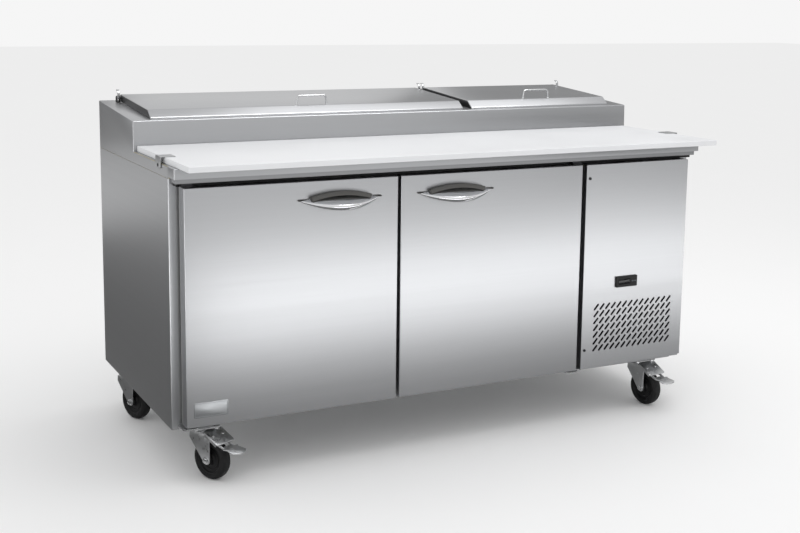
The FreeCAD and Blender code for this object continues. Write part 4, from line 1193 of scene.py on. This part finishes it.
def controller():
    """Thermostat: bezel, smoked window with unlit digits, buttons with domed caps."""
    bezel = ease(copy_of("controller", "controller_bezel"), 0.8 * MM, 2, 50)
    finish(bezel, "service_door", material("moulded_black"), ["controller"])
    low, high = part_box("controller")
    x, z = (low.x + high.x) / 2, (low.z + high.z) / 2
    window_x = (x - 31.5 * MM, x + 13.5 * MM)
    window = block("controller_window", (window_x[0], low.y + 0.15 * MM, z - 8.5 * MM),
                   (window_x[1], low.y + 0.75 * MM, z + 8.5 * MM))
    finish(ease(window, 0.25 * MM), "service_door", material("smoked_acrylic"))
    digits = unlit_digits(window_x[0] + 5 * MM, z, low.y + 0.1 * MM)
    finish(digits, "service_door", material("moulded_digits"))
    for label in ("down", "up", "set"):
        node = "button_" + label
        near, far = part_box(node)
        radius = (far.x - near.x) / 2
        profile = [(0, 0), (radius, 0), (radius, 3.9 * MM), (radius * 0.7, 4.5 * MM), (0, 4.6 * MM)]
        at = ((near.x + far.x) / 2, far.y, (near.z + far.z) / 2)
        cap = lathe(node + "_cap", profile, aim(at, (0, -1, 0)), 24)
        finish(cap, "push_" + label, material("moulded_button"), [node])


def unlit_digits(x, z, y):
    """Three seven-bar digits, barely paler than the window."""
    bars = []
    tall, wide, thick, deep = 5 * MM, 5.6 * MM, 0.9 * MM, 0.2 * MM
    for digit in range(3):
        left = x + digit * 12 * MM
        for dz in (-tall, 0, tall):
            level = z + dz
            far = (left + wide, y + deep, level + thick / 2)
            bars.append(block("bar", (left, y, level - thick / 2), far))
        for start in (left - thick, left + wide):
            for foot in (z - tall, z):
                far = (start + thick, y + deep, foot + tall - thick)
                bars.append(block("bar", (start, y, foot + thick), far))
    return join("controller_digits", bars)


# ---- inside the store ----------------------------------------------------------------
def shelves():
    """Coated wire shelves: round border, stiffeners and close wires."""
    radius = bpy.context.scene.prep_sizes.wire
    for side in SIDES:
        low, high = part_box("wire_shelf_" + side)
        rim, stay = 3.9 * MM, 2.4 * MM
        z = high.z - rim - 0.1 * MM
        corners = [(low.x + rim, low.y + rim, z), (high.x - rim, low.y + rim, z),
                   (high.x - rim, high.y - rim, z), (low.x + rim, high.y - rim, z)]
        border = wires("border", [bent(corners, 18 * MM, closed=True)], rim, closed=True)
        stays = [[(low.x + rim, y, low.z + stay), (high.x - rim, y, low.z + stay)]
                 for y in (low.y + (high.y - low.y) * f for f in (0.24, 0.5, 0.76))]
        pitch = 25 * MM
        count = int((high.x - low.x - 2 * pitch) / pitch)
        start = (low.x + high.x - (count - 1) * pitch) / 2
        close = [[(start + i * pitch, low.y + rim, high.z - radius - 0.2 * MM),
                  (start + i * pitch, high.y - rim, high.z - radius - 0.2 * MM)] for i in range(count)]
        piece = join("wire_shelf_%s_coated" % side,
                     [border, wires("stays", stays, stay), wires("close", close, radius, sides=2)])
        finish(piece, "shelf_" + side, material("coated_wire"), ["wire_shelf_" + side])
    supports = ease(copy_of("shelf_supports", "shelf_pilasters"), 0.8 * MM)
    finish(supports, "cabinet", material("mill_stainless"), ["shelf_supports"])


def fan_rotor(name, joint, radius, hub, thick):
    """Moulded rotor: domed hub and five swept, pitched blades, its axis along the joint's."""
    deselect()
    blades = []
    for number in range(5):
        bpy.ops.mesh.primitive_grid_add(x_subdivisions=8, y_subdivisions=6, size=1)
        blade = named("blade")
        for vertex in blade.data.vertices:
            s, t = vertex.co.x + 0.5, vertex.co.y
            r = hub * 0.85 + (radius - hub * 0.85) * s
            wide = math.radians(50 - 8 * s)
            angle = t * wide + math.radians(20) * s * s + math.tau * number / 5
            rise = -t * r * math.radians(34 - 16 * s) + 2 * MM * math.cos(t * math.pi)
            vertex.co = (r * math.cos(angle), r * math.sin(angle), rise)
        outward(blade)
        modify(blade, "SOLIDIFY", thickness=2 * MM, offset=0)
        blades.append(blade)
        deselect()
    profile = [(4.2 * MM, -thick / 2), (hub * 0.9, -thick / 2), (hub, -thick * 0.4), (hub, thick * 0.3),
               (hub * 0.86, thick * 0.5), (hub * 0.5, thick * 0.56), (4.2 * MM, thick * 0.56)]
    middle = lathe("hub", profile, None, 40)
    piece = join(name, [middle] + blades)
    middle = Vector(joint["pos_m"]) + Vector(joint["axis"]) * 8 * MM
    return smooth(settle(piece, aim(middle, joint["axis"])), 40)


def fan_guard(name, at, axis, radius):
    """Wire guard: rings on four radial stays."""
    rings, count, corners = [], 7, 40
    for i in range(1, count + 1):
        r = radius * i / count
        angles = [math.tau * k / corners for k in range(corners)]
        rings.append([(r * math.cos(a), r * math.sin(a), 0) for a in angles])
    stays = []
    for k in range(4):
        a = math.tau * (k + 0.5) / 4
        stays.append([(radius / count * math.cos(a), radius / count * math.sin(a), -2 * MM),
                      ((radius + 4 * MM) * math.cos(a), (radius + 4 * MM) * math.sin(a), -2 * MM)])
    hoops = wires("rings", rings, 1.1 * MM, closed=True, sides=1)
    return settle(join(name, [hoops, wires("stays", stays, 1.4 * MM, sides=1)]), aim(at, axis))


def evaporator():
    """Cold-air housing with its guard, coil and fan."""
    housing = copy_of("evaporator_cover", "evaporator_housing")
    finish(housing, "cabinet", material("rolled_aluminium"), ["evaporator_cover"])
    paint("evaporator_coil", material("rolled_aluminium"))
    spin = JOINTS["evaporator_fan_spin"]
    low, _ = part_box("evaporator_cover")
    at = (low.x - 2 * MM, spin["pos_m"][1], spin["pos_m"][2])
    guard = fan_guard("evaporator_guard", at, (-1, 0, 0), 92 * MM)
    finish(guard, "cabinet", material("coated_wire"))
    rotor = fan_rotor("evaporator_rotor_blades", spin, 80 * MM, 22 * MM, 15 * MM)
    finish(rotor, "evaporator_rotor", material("moulded_black"), ["evaporator_fan"])


# ---- machinery -----------------------------------------------------------------------
def condensing_unit():
    """Finned condenser with copper bends, shroud and fan, compressor and its lines."""
    low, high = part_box("condenser_coil")
    foot, top, count, tube = low.z, high.z, 84, 4.8 * MM
    pitch = (high.x - low.x - 12 * MM) / count
    y0, y1 = low.y + 2 * MM, high.y - 2 * MM
    fin = block("fin", (low.x + 6 * MM, y0, foot + 21 * MM), (low.x + 6.5 * MM, y1, top - 6 * MM))
    fins = modify(fin, "ARRAY", count=count, use_relative_offset=False, use_constant_offset=True,
                  constant_offset_displace=(pitch, 0, 0))
    ends = [ease(block("end", (x - 1.5 * MM, low.y, foot), (x + 1.5 * MM, high.y, top)), 0.5 * MM)
            for x in (low.x + 3.5 * MM, high.x - 4 * MM)]
    # The fins' near-black is painted shade, seen through the grille slots.
    finish(join("condenser_fins", [fins] + ends), "cabinet", material("fins_dark_as_painted_shade"),
           ["condenser_coil"])
    rows = [y0 + 12 * MM, y1 - 12 * MM]
    levels = [foot + (45 + 44 * i) * MM for i in range(5)]
    runs = [[(low.x + MM, y, z), (high.x - MM, y, z)] for y in rows for z in levels]
    bends = []
    for z in levels:
        for x, way in ((low.x + MM, -1), (high.x - MM, 1)):
            tip = x + way * 12 * MM
            corners = [(x, rows[0], z), (tip, rows[0], z), (tip, rows[1], z), (x, rows[1], z)]
            bends.append(bent(corners, 11 * MM))
    copper = join("condenser_tubes",
                  [wires("runs", runs, tube, sides=2), wires("bends", bends, tube, sides=2)])
    finish(copper, "cabinet", material("drawn_copper"))
    shroud = copy_of("fan_shroud", "fan_shroud_pressed")
    finish(shroud, "cabinet", material("galvanised_sheet"), ["fan_shroud"])
    rotor = fan_rotor("condenser_rotor_blades", JOINTS["condenser_fan_spin"], 80 * MM, 22 * MM, 15 * MM)
    finish(rotor, "condenser_rotor", material("moulded_black"), ["condenser_fan"])
    compressor()


def compressor():
    """Hermetic can with a rolled seam, foot plate, rubber feet, terminal case and copper lines."""
    low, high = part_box("compressor")
    x, y, foot = low.x + 120 * MM, (low.y + high.y) / 2, low.z
    r, seam, rim = 88 * MM, 128 * MM, 3.5 * MM

    def beside(dx, dy, dz):
        return x + dx * MM, y + dy * MM, foot + dz * MM

    bottom, dome = [math.radians(a) for a in range(25, 91, 13)], [math.radians(a) for a in range(0, 80, 13)]
    profile = [(0, 26 * MM)] + [(r * math.sin(a), 62 * MM - 36 * MM * math.cos(a)) for a in bottom]
    profile += [(r, seam - 5 * MM), (r + rim, seam - 4 * MM), (r + rim, seam + 4 * MM), (r, seam + 5 * MM)]
    profile += [(r * math.cos(a), 196 * MM + 48 * MM * math.sin(a)) for a in dome] + [(0, 245 * MM)]
    can = lathe("compressor_can", profile, Matrix.Translation((x, y, foot)), 64)
    case = ease(block("case", beside(78, -34, 80), beside(111, 34, 158)), 4 * MM, 3)
    finish(join("compressor_can", [can, case]), "cabinet", material("black_enamel"),
           ["compressor"])
    outline = rounded(208 * MM, 138 * MM, 14 * MM)
    plate = ease(slab("plate", outline, 4 * MM, Matrix.Translation((x, y, foot + 22 * MM))), 0.8 * MM)
    finish(plate, "cabinet", material("galvanised_sheet")).name = "compressor_foot_plate"
    grommet = mm((0, 0), (15, 0), (14, 9), (10.5, 11), (14, 13), (13, 21.9), (0, 21.9))
    feet = [lathe("foot", grommet, Matrix.Translation(beside(sx * 85, sy * 52, 0)), 28)
            for sx in (-1, 1) for sy in (-1, 1)]
    finish(join("compressor_feet", feet), "cabinet", material("tyre_rubber"))
    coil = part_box("condenser_coil")
    side_x, coil_y = coil[0].x - 4 * MM, (coil[0].y + coil[1].y) / 2
    discharge = [beside(-84, -30, 150), beside(-130, -34, 152), beside(-165, -120, 190),
                 (side_x - 4 * MM, y - 230 * MM, foot + 240 * MM),
                 (side_x - 8 * MM, coil_y + 40 * MM, foot + 236 * MM),
                 (side_x - 4 * MM, coil_y + 12 * MM, foot + 222 * MM)]
    suction = [beside(-84, 30, 90), beside(-140, 34, 96), beside(-190, 60, 150), beside(-205, 80, 330),
               beside(-230, 80, 420), beside(-249, 80, 424)]
    lines = [flexible("discharge", discharge, 4 * MM), flexible("suction", suction, 6.5 * MM)]
    finish(join("refrigerant_lines", lines), "cabinet", material("drawn_copper"))


def rear_details():
    """Back panel with its rivets, and the gland for the mains lead."""
    back = copy_of("back_panel", "back_panel_sheet")
    finish(back, "cabinet", material("galvanised_sheet"), ["back_panel"])
    low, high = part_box("back_panel")
    inset = 16 * MM
    x0, x1, z0, z1 = low.x + inset, high.x - inset, low.z + inset, high.z - inset
    places = [(x0 + (x1 - x0) * i / 6, z) for i in range(7) for z in (z0, z1)]
    places += [(x, z0 + (z1 - z0) * i / 4) for i in range(1, 4) for x in (x0, x1)]
    heads = [rivet((x, high.y - 0.1 * MM, z)) for x, z in places]
    finish(join("back_panel_rivets", heads), "cabinet", material("rolled_aluminium"))
    gland = ease(copy_of("power_inlet", "mains_gland"), 0.5 * MM, 2, 50)
    finish(gland, "cabinet", material("moulded_black"), ["power_inlet"])


def rivet(at):
    """Domed blind rivet on the back panel."""
    return lathe("rivet", mm((0, 0), (3.4, 0), (3, 0.05), (1.4, 0.08), (0, 0.09)), aim(at, (0, 1, 0)), 14)


# ---- casters -------------------------------------------------------------------------
def caster_place(name):
    """Matrix from a caster drawn heading along +X, standing on the floor, to its place."""
    swivel = JOINTS["swivel_" + name]["pos_m"]
    axis = JOINTS["wheel_spin_" + name]["axis"]
    turn = Matrix.Rotation(math.atan2(-axis[0], axis[1]), 4, "Z")
    return Matrix.Translation((swivel[0], swivel[1], 0)) @ turn


def hex_head(name, at, direction, across, height):
    """Hexagon head on a washer."""
    foot = 1.2 * MM
    washer = drum("washer", (0, 0, 0), (0, 0, foot), across * 0.68, 28)
    head = drum(name, (0, 0, foot), (0, 0, foot + height), across / math.sqrt(3), 6)
    return settle(join(name, [ease(head, 0.7 * MM), ease(washer, 0.3 * MM)]), aim(at, direction))


def fork(name):
    """Pressed fork: two legs, crown, ball race and axle bolt, with a hood where it has a brake."""
    place = caster_place(name)
    leg = [(-30 * MM, CROWN_Z + 2 * MM), (-31 * MM, CROWN_Z - 16 * MM)]
    leg += arc((TRAIL, WHEEL_R), 13 * MM, 215, 360, 10)
    leg += [(TRAIL + 13 * MM, CROWN_Z - 12 * MM), (TRAIL + 10 * MM, CROWN_Z + 2 * MM)]
    parts, thick = [], 4 * MM
    for start in (-LEG_OUT + thick, LEG_OUT):
        plate = slab("leg", leg, thick, Matrix.Translation((0, start, 0)) @ ON_FACE)
        parts.append(ease(plate, 1.2 * MM, 3))
    outline = rounded(78 * MM, 2 * LEG_OUT, 13 * MM)
    crown = slab("crown", outline, 4.5 * MM, Matrix.Translation((7 * MM, 0, CROWN_Z)))
    parts.append(ease(crown, 2 * MM, 3))
    race = mm((0, 0), (29, 0), (30, 2), (27.5, 6.5), (24, 8), (0, 8))
    parts.append(lathe("race", race, Matrix.Translation((0, 0, CROWN_Z + 3.5 * MM)), 40))
    if name in FRONTS:
        parts += hood()
    piece = settle(join("caster_fork_%s_pressed" % name, parts), place)
    finish(piece, "caster_swivel_" + name, material("zinc_plate"), ["caster_fork_" + name])
    bolts = [hex_head("head", (TRAIL, way * LEG_OUT, WHEEL_R), (0, way, 0), 15 * MM, 5 * MM)
             for way in (-1, 1)]
    bolts.append(drum("shaft", (TRAIL, -LEG_OUT, WHEEL_R), (TRAIL, LEG_OUT, WHEEL_R), 5.9 * MM, 24))
    piece = settle(join("caster_axle_" + name, bolts), place)
    finish(smooth(piece), "caster_swivel_" + name, material("bright_stainless_rod"))


def hood():
    """Sloped hood with turned-down sides and two rivets, over the front of a braked fork."""
    half, sheet = 35 * MM, 2 * MM
    slope = Matrix.Translation((59 * MM, 0, 130.6 * MM)) @ Matrix.Rotation(math.atan2(30.5, 58), 4, "Y")
    plate = slab("hood", rounded(65 * MM, 2 * half, 7 * MM), 2.8 * MM, slope)
    parts = [ease(plate, 1.1 * MM, 3)]
    profile = mm((0, 0), (4.6, 0), (3.8, 1.2), (2, 1.8), (0, 2))
    for way in (-1, 1):
        y = way * (half - 0.4 * MM) - (sheet if way > 0 else 0)
        skirt = block("skirt", (-24 * MM, y, -7.5 * MM), (27 * MM, y + sheet, 1.4 * MM))
        parts.append(ease(settle(skirt, slope), 0.6 * MM))
        rivet_place = slope @ Matrix.Translation((-4 * MM, way * 19 * MM, 2.6 * MM))
        parts.append(lathe("rivet", profile, rivet_place, 20))
    return parts


def wheel(name):
    """Rubber tyre on a moulded core with recessed webs and a bearing cap."""
    upright = Matrix.Rotation(math.radians(-90), 4, "X")
    place = caster_place(name) @ Matrix.Translation((TRAIL, 0, WHEEL_R)) @ upright
    half = WHEEL_HALF / MM
    tread = mm((43, half - 3), (45, half - 0.6), (48, half), (53, half - 0.8), (57, half - 3.4),
               (59.2, half - 8), (59.97, half - 13))
    web = mm((6.3, half + 4), (13, half + 4), (15, half + 2.5), (15.5, half - 5), (18, half - 8),
             (27, half - 9), (28, half - 7.5), (31, half - 7.5), (32, half - 9), (38, half - 8),
             (40.5, half - 4), (43.2, half - 3))
    tyre, core = [side + [(r, -h) for r, h in reversed(side)] for side in (tread, web)]
    piece = lathe("caster_tyre_" + name, tyre, place, 72)
    finish(piece, "wheel_" + name, material("tyre_rubber"), ["caster_wheel_" + name])
    piece = lathe("caster_core_" + name, core, place, 56)
    finish(piece, "wheel_" + name, material("moulded_black"))


def pedal(name):
    """Brake pedal: two arms astride the wheel, a bridge and a flared, ribbed tread with pointed tips."""
    pivot, end = PEDAL_PIVOT, PEDAL_END
    inner, thick = 18.2 * MM, 2.8 * MM
    reach = inner + thick
    side = arc((pivot.x, pivot.z), 5.4 * MM, 60, 240, 8)
    side += [(pivot.x + 4 * MM, pivot.z - 5.4 * MM), (end.x, end.z - 3.6 * MM), (end.x, end.z + 2.8 * MM)]
    parts = [ease(slab("arm", side, thick, Matrix.Translation((0, start, 0)) @ ON_FACE), 0.6 * MM)
             for start in (-inner, reach)]
    bridge = block("bridge", (end.x - 7 * MM, -reach, end.z - 3 * MM), (end.x, reach, end.z + MM))
    parts.append(ease(bridge, 0.6 * MM))
    edge = mm((-6, 14), (4, 14), (6.5, 30), (14, 24), (40, 28.5), (50, 17))
    outline = [(u, -v) for u, v in edge] + [(52.5 * MM, 0)] + edge[::-1]
    tilt = Matrix.Translation((end.x, 0, end.z + MM / 2)) @ Matrix.Rotation(math.radians(9), 4, "Y")
    parts.append(ease(slab("tread", outline, 2.9 * MM, tilt), 0.9 * MM))
    for i in range(4):
        rib = block("rib", ((15 + i * 7) * MM, -13 * MM, 2.4 * MM), ((17.4 + i * 7) * MM, 13 * MM, 3.6 * MM))
        parts.append(ease(settle(rib, tilt), 0.5 * MM))
    across = Vector((0, LEG_OUT, 0))
    parts.append(smooth(drum("pin", pivot - across, pivot + across, 3 * MM, 20)))
    piece = settle(join("brake_pedal_%s_pressed" % name, parts), caster_place(name))
    finish(piece, "pedal_" + name, material("zinc_plate"), ["brake_pedal_" + name])


def casters():
    """Four casters with their mounting plates and bolts, two with brakes."""
    plates = ease(copy_of("caster_plates", "caster_mounting_plates"), 0.6 * MM, 2, 60)
    finish(plates, "cabinet", material("zinc_plate"), ["caster_plates"])
    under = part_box("caster_plates")[1].z - PLATE_T
    bolts = []
    for name in CORNERS:
        x, y, _ = JOINTS["swivel_" + name]["pos_m"]
        for dx in (-PLATE_BOLT, PLATE_BOLT):
            for dy in (-PLATE_BOLT, PLATE_BOLT):
                bolts.append(hex_head("bolt", (x + dx, y + dy, under), (0, 0, -1), 12 * MM, 5 * MM))
        fork(name)
        wheel(name)
    finish(smooth(join("caster_plate_bolts", bolts)), "cabinet", material("bright_stainless_rod"))
    for name in FRONTS:
        pedal(name)


# ---- stage ---------------------------------------------------------------------------
def lamp(name, at, target, width, height, power, only_gloss=False):
    """Soft rectangular lamp that the camera doesn't see."""
    data = bpy.data.lights.new(name, "AREA")
    data.shape = "RECTANGLE"
    data.size, data.size_y = width, height
    data.energy = power
    light = bpy.data.objects.new(name, data)
    bpy.context.scene.collection.objects.link(light)
    light.location = at
    light.rotation_euler = (Vector(target) - Vector(at)).to_track_quat("-Z", "Y").to_euler()
    light.visible_camera = False
    light.visible_diffuse = not only_gloss


def flag(name, at, turn, width, height, brightness):
    """Card seen only in reflections, which darkens or brightens what the steel mirrors."""
    deselect()
    bpy.ops.mesh.primitive_plane_add(size=1, location=at, rotation=turn)
    card = bpy.context.object
    card.scale = (width, height, 1)
    card = named(name)
    paper = bpy.data.materials.new(name)
    paper.use_nodes = True
    tree = paper.node_tree
    tree.nodes.remove(tree.nodes["Principled BSDF"])
    glow = add_node(tree, "ShaderNodeEmission", {"Color": (1, 1, 1, 1), "Strength": brightness})
    tree.links.new(glow.outputs[0], tree.nodes["Material Output"].inputs["Surface"])
    card.data.materials.append(paper)
    card.visible_camera = card.visible_diffuse = card.visible_shadow = False


def stage():
    """Pale floor, even room light, soft lamps and the camera."""
    sizes = bpy.context.scene.prep_sizes
    deselect()
    bpy.ops.mesh.primitive_plane_add(size=2 * sizes.floor)
    floor = named("studio_floor")
    floor.data.materials.append(material("studio_paint"))
    world = bpy.data.worlds.new("studio_room")
    bpy.context.scene.world = world
    world.use_nodes = True
    background = world.node_tree.nodes["Background"]
    background.inputs["Color"].default_value = (1.0, 1.0, 1.0, 1.0)
    background.inputs["Strength"].default_value = sizes.world
    bpy.context.scene.view_settings.view_transform = "Standard"
    lamp("overhead_softbox", (0.9, -0.6, 3.4), (0.1, -0.3, 0.6), 3.2, 2.4, 26)
    lamp("low_front_reflector", (0.95, -1.75, 0.14), (0.95, -0.367, 0.14), 3.0, 0.34, 9, only_gloss=True)
    lamp("overhead_strip", (0.2, -1.3, 3.2), (0.2, -0.4, 0.9), 3.4, 0.5, 60, only_gloss=True)
    lamp("left_strip", (-3.5, -2.0, 0.9), (-0.9, -0.35, 0.9), 0.5, 2.0, 12, only_gloss=True)
    flag("dark_side_flag", (-1.75, 1.2, 0.002), (0, 0, 0), 1.6, 5.0, 0.16)
    flag("dark_door_flag", (0, -0.95, 0.001), (0, 0, 0), 3.4, 0.8, 0.22)
    for x, width, tall in ((-3.6, 8.8, 2.8), (9.0, 10.0, 6.0)):
        flag("dark_back_flag", (x, 7.5, tall / 2), (math.radians(90), 0, 0), width, tall, 0.28)
    flag("dark_far_flag", (11.5, -9.0, 1.1), (math.radians(90), 0, 0), 10.0, 2.2, 0.15)
    flag("bright_fold_card", (-3.2, -1.4, 0.004), (0, 0, 0), 2.4, 2.4, 4.0)
    camera()


def camera():
    """Camera in front of the left corner, a little above the rail."""
    turn, tilt, roll = -0.484, 0.152, 0.014
    ahead = Vector((-math.sin(turn) * math.cos(tilt), math.cos(turn) * math.cos(tilt), -math.sin(tilt)))
    right = Vector((math.cos(turn), math.sin(turn), 0))
    up = right.cross(ahead)
    across = right * math.cos(roll) + up * math.sin(roll)
    upward = up * math.cos(roll) - right * math.sin(roll)
    data = bpy.data.cameras.new("camera")
    data.lens = 56.17
    data.sensor_width = 36.0
    data.shift_x, data.shift_y = -0.025, -0.0956
    data.clip_end = 200.0
    shot = bpy.data.objects.new("camera", data)
    bpy.context.scene.collection.objects.link(shot)
    place = Matrix((across, upward, -ahead)).transposed().to_4x4()
    place.translation = (-1.8584, -3.6109, 1.3658)
    shot.matrix_world = place
    bpy.context.scene.camera = shot


# ---- operators and panel -------------------------------------------------------------
class PREP_OT_stage(bpy.types.Operator):
    """Make the floor, the lamps, the room light and the camera"""
    bl_idname = "prep.stage"
    bl_label = "Stage"

    def execute(self, context):
        stage()
        return {"FINISHED"}


class PREP_OT_cabinet(bpy.types.Operator):
    """Make the cabinet's skins, deck and pan rail"""
    bl_idname = "prep.cabinet"
    bl_label = "Cabinet"

    def execute(self, context):
        cabinet_skins()
        work_deck()
        pan_rail()
        return {"FINISHED"}


class PREP_OT_pans(bpy.types.Operator):
    """Make the pans and the bars between them"""
    bl_idname = "prep.pans"
    bl_label = "Pans"

    def execute(self, context):
        pans()
        return {"FINISHED"}


class PREP_OT_lids(bpy.types.Operator):
    """Make the lids, their handles and hinges"""
    bl_idname = "prep.lids"
    bl_label = "Lids"

    def execute(self, context):
        lids()
        lid_hinges()
        return {"FINISHED"}


class PREP_OT_board(bpy.types.Operator):
    """Make the cutting board and its clips"""
    bl_idname = "prep.board"
    bl_label = "Cutting board"

    def execute(self, context):
        board()
        return {"FINISHED"}


class PREP_OT_doors(bpy.types.Operator):
    """Make the doors, gaskets, hinge plates and the blank nameplate"""
    bl_idname = "prep.doors"
    bl_label = "Doors"

    def execute(self, context):
        doors()
        nameplate()
        return {"FINISHED"}


class PREP_OT_door_handles(bpy.types.Operator):
    """Make the bow handles"""
    bl_idname = "prep.door_handles"
    bl_label = "Door handles"

    def execute(self, context):
        door_handles()
        return {"FINISHED"}


class PREP_OT_service_panel(bpy.types.Operator):
    """Make the grille panel and its screws"""
    bl_idname = "prep.service_panel"
    bl_label = "Service panel"

    def execute(self, context):
        service_panel()
        return {"FINISHED"}


class PREP_OT_controller(bpy.types.Operator):
    """Make the thermostat and its buttons"""
    bl_idname = "prep.controller"
    bl_label = "Controller"

    def execute(self, context):
        controller()
        return {"FINISHED"}


class PREP_OT_shelves(bpy.types.Operator):
    """Make the wire shelves and their supports"""
    bl_idname = "prep.shelves"
    bl_label = "Shelves"

    def execute(self, context):
        shelves()
        return {"FINISHED"}


class PREP_OT_evaporator(bpy.types.Operator):
    """Make the cold-air housing and its fan"""
    bl_idname = "prep.evaporator"
    bl_label = "Evaporator"

    def execute(self, context):
        evaporator()
        return {"FINISHED"}


class PREP_OT_condensing_unit(bpy.types.Operator):
    """Make the condenser, its fan, the compressor and the lines"""
    bl_idname = "prep.condensing_unit"
    bl_label = "Condensing unit"

    def execute(self, context):
        condensing_unit()
        return {"FINISHED"}


class PREP_OT_rear(bpy.types.Operator):
    """Make the back panel, its rivets and the mains gland"""
    bl_idname = "prep.rear"
    bl_label = "Back"

    def execute(self, context):
        rear_details()
        return {"FINISHED"}


class PREP_OT_casters(bpy.types.Operator):
    """Make the casters, wheels and brake pedals"""
    bl_idname = "prep.casters"
    bl_label = "Casters"

    def execute(self, context):
        casters()
        return {"FINISHED"}


OPERATORS = (
    PREP_OT_stage, PREP_OT_cabinet, PREP_OT_pans, PREP_OT_lids, PREP_OT_board, PREP_OT_doors,
    PREP_OT_door_handles, PREP_OT_service_panel, PREP_OT_controller, PREP_OT_shelves,
    PREP_OT_evaporator, PREP_OT_condensing_unit, PREP_OT_rear, PREP_OT_casters,
)


class PREP_PT_panel(bpy.types.Panel):
    """Lists the pieces of the prep table"""
    bl_label = "Prep table"
    bl_idname = "PREP_PT_panel"
    bl_space_type = "VIEW_3D"
    bl_region_type = "UI"
    bl_category = "Prep table"

    def draw(self, context):
        layout = self.layout
        for group in (context.scene.prep_sizes, context.scene.prep_colours):
            for prop in group.bl_rna.properties:
                if prop.identifier not in ("rna_type", "name"):
                    layout.prop(group, prop.identifier)
        for operator in OPERATORS:
            layout.operator(operator.bl_idname)


CLASSES = (PrepSizes, PrepColours) + OPERATORS + (PREP_PT_panel,)


def register():
    """Register the classes and their settings."""
    for made in CLASSES:
        bpy.utils.register_class(made)
    bpy.types.Scene.prep_sizes = bpy.props.PointerProperty(type=PrepSizes)
    bpy.types.Scene.prep_colours = bpy.props.PointerProperty(type=PrepColours)


def unregister():
    """Remove the settings and the classes."""
    del bpy.types.Scene.prep_colours
    del bpy.types.Scene.prep_sizes
    for made in reversed(CLASSES):
        bpy.utils.unregister_class(made)


def main():
    """Make every piece in order."""
    register()
    for operator in OPERATORS:
        group, name = operator.bl_idname.split(".")
        getattr(getattr(bpy.ops, group), name)()


if __name__ == "__main__":
    main()
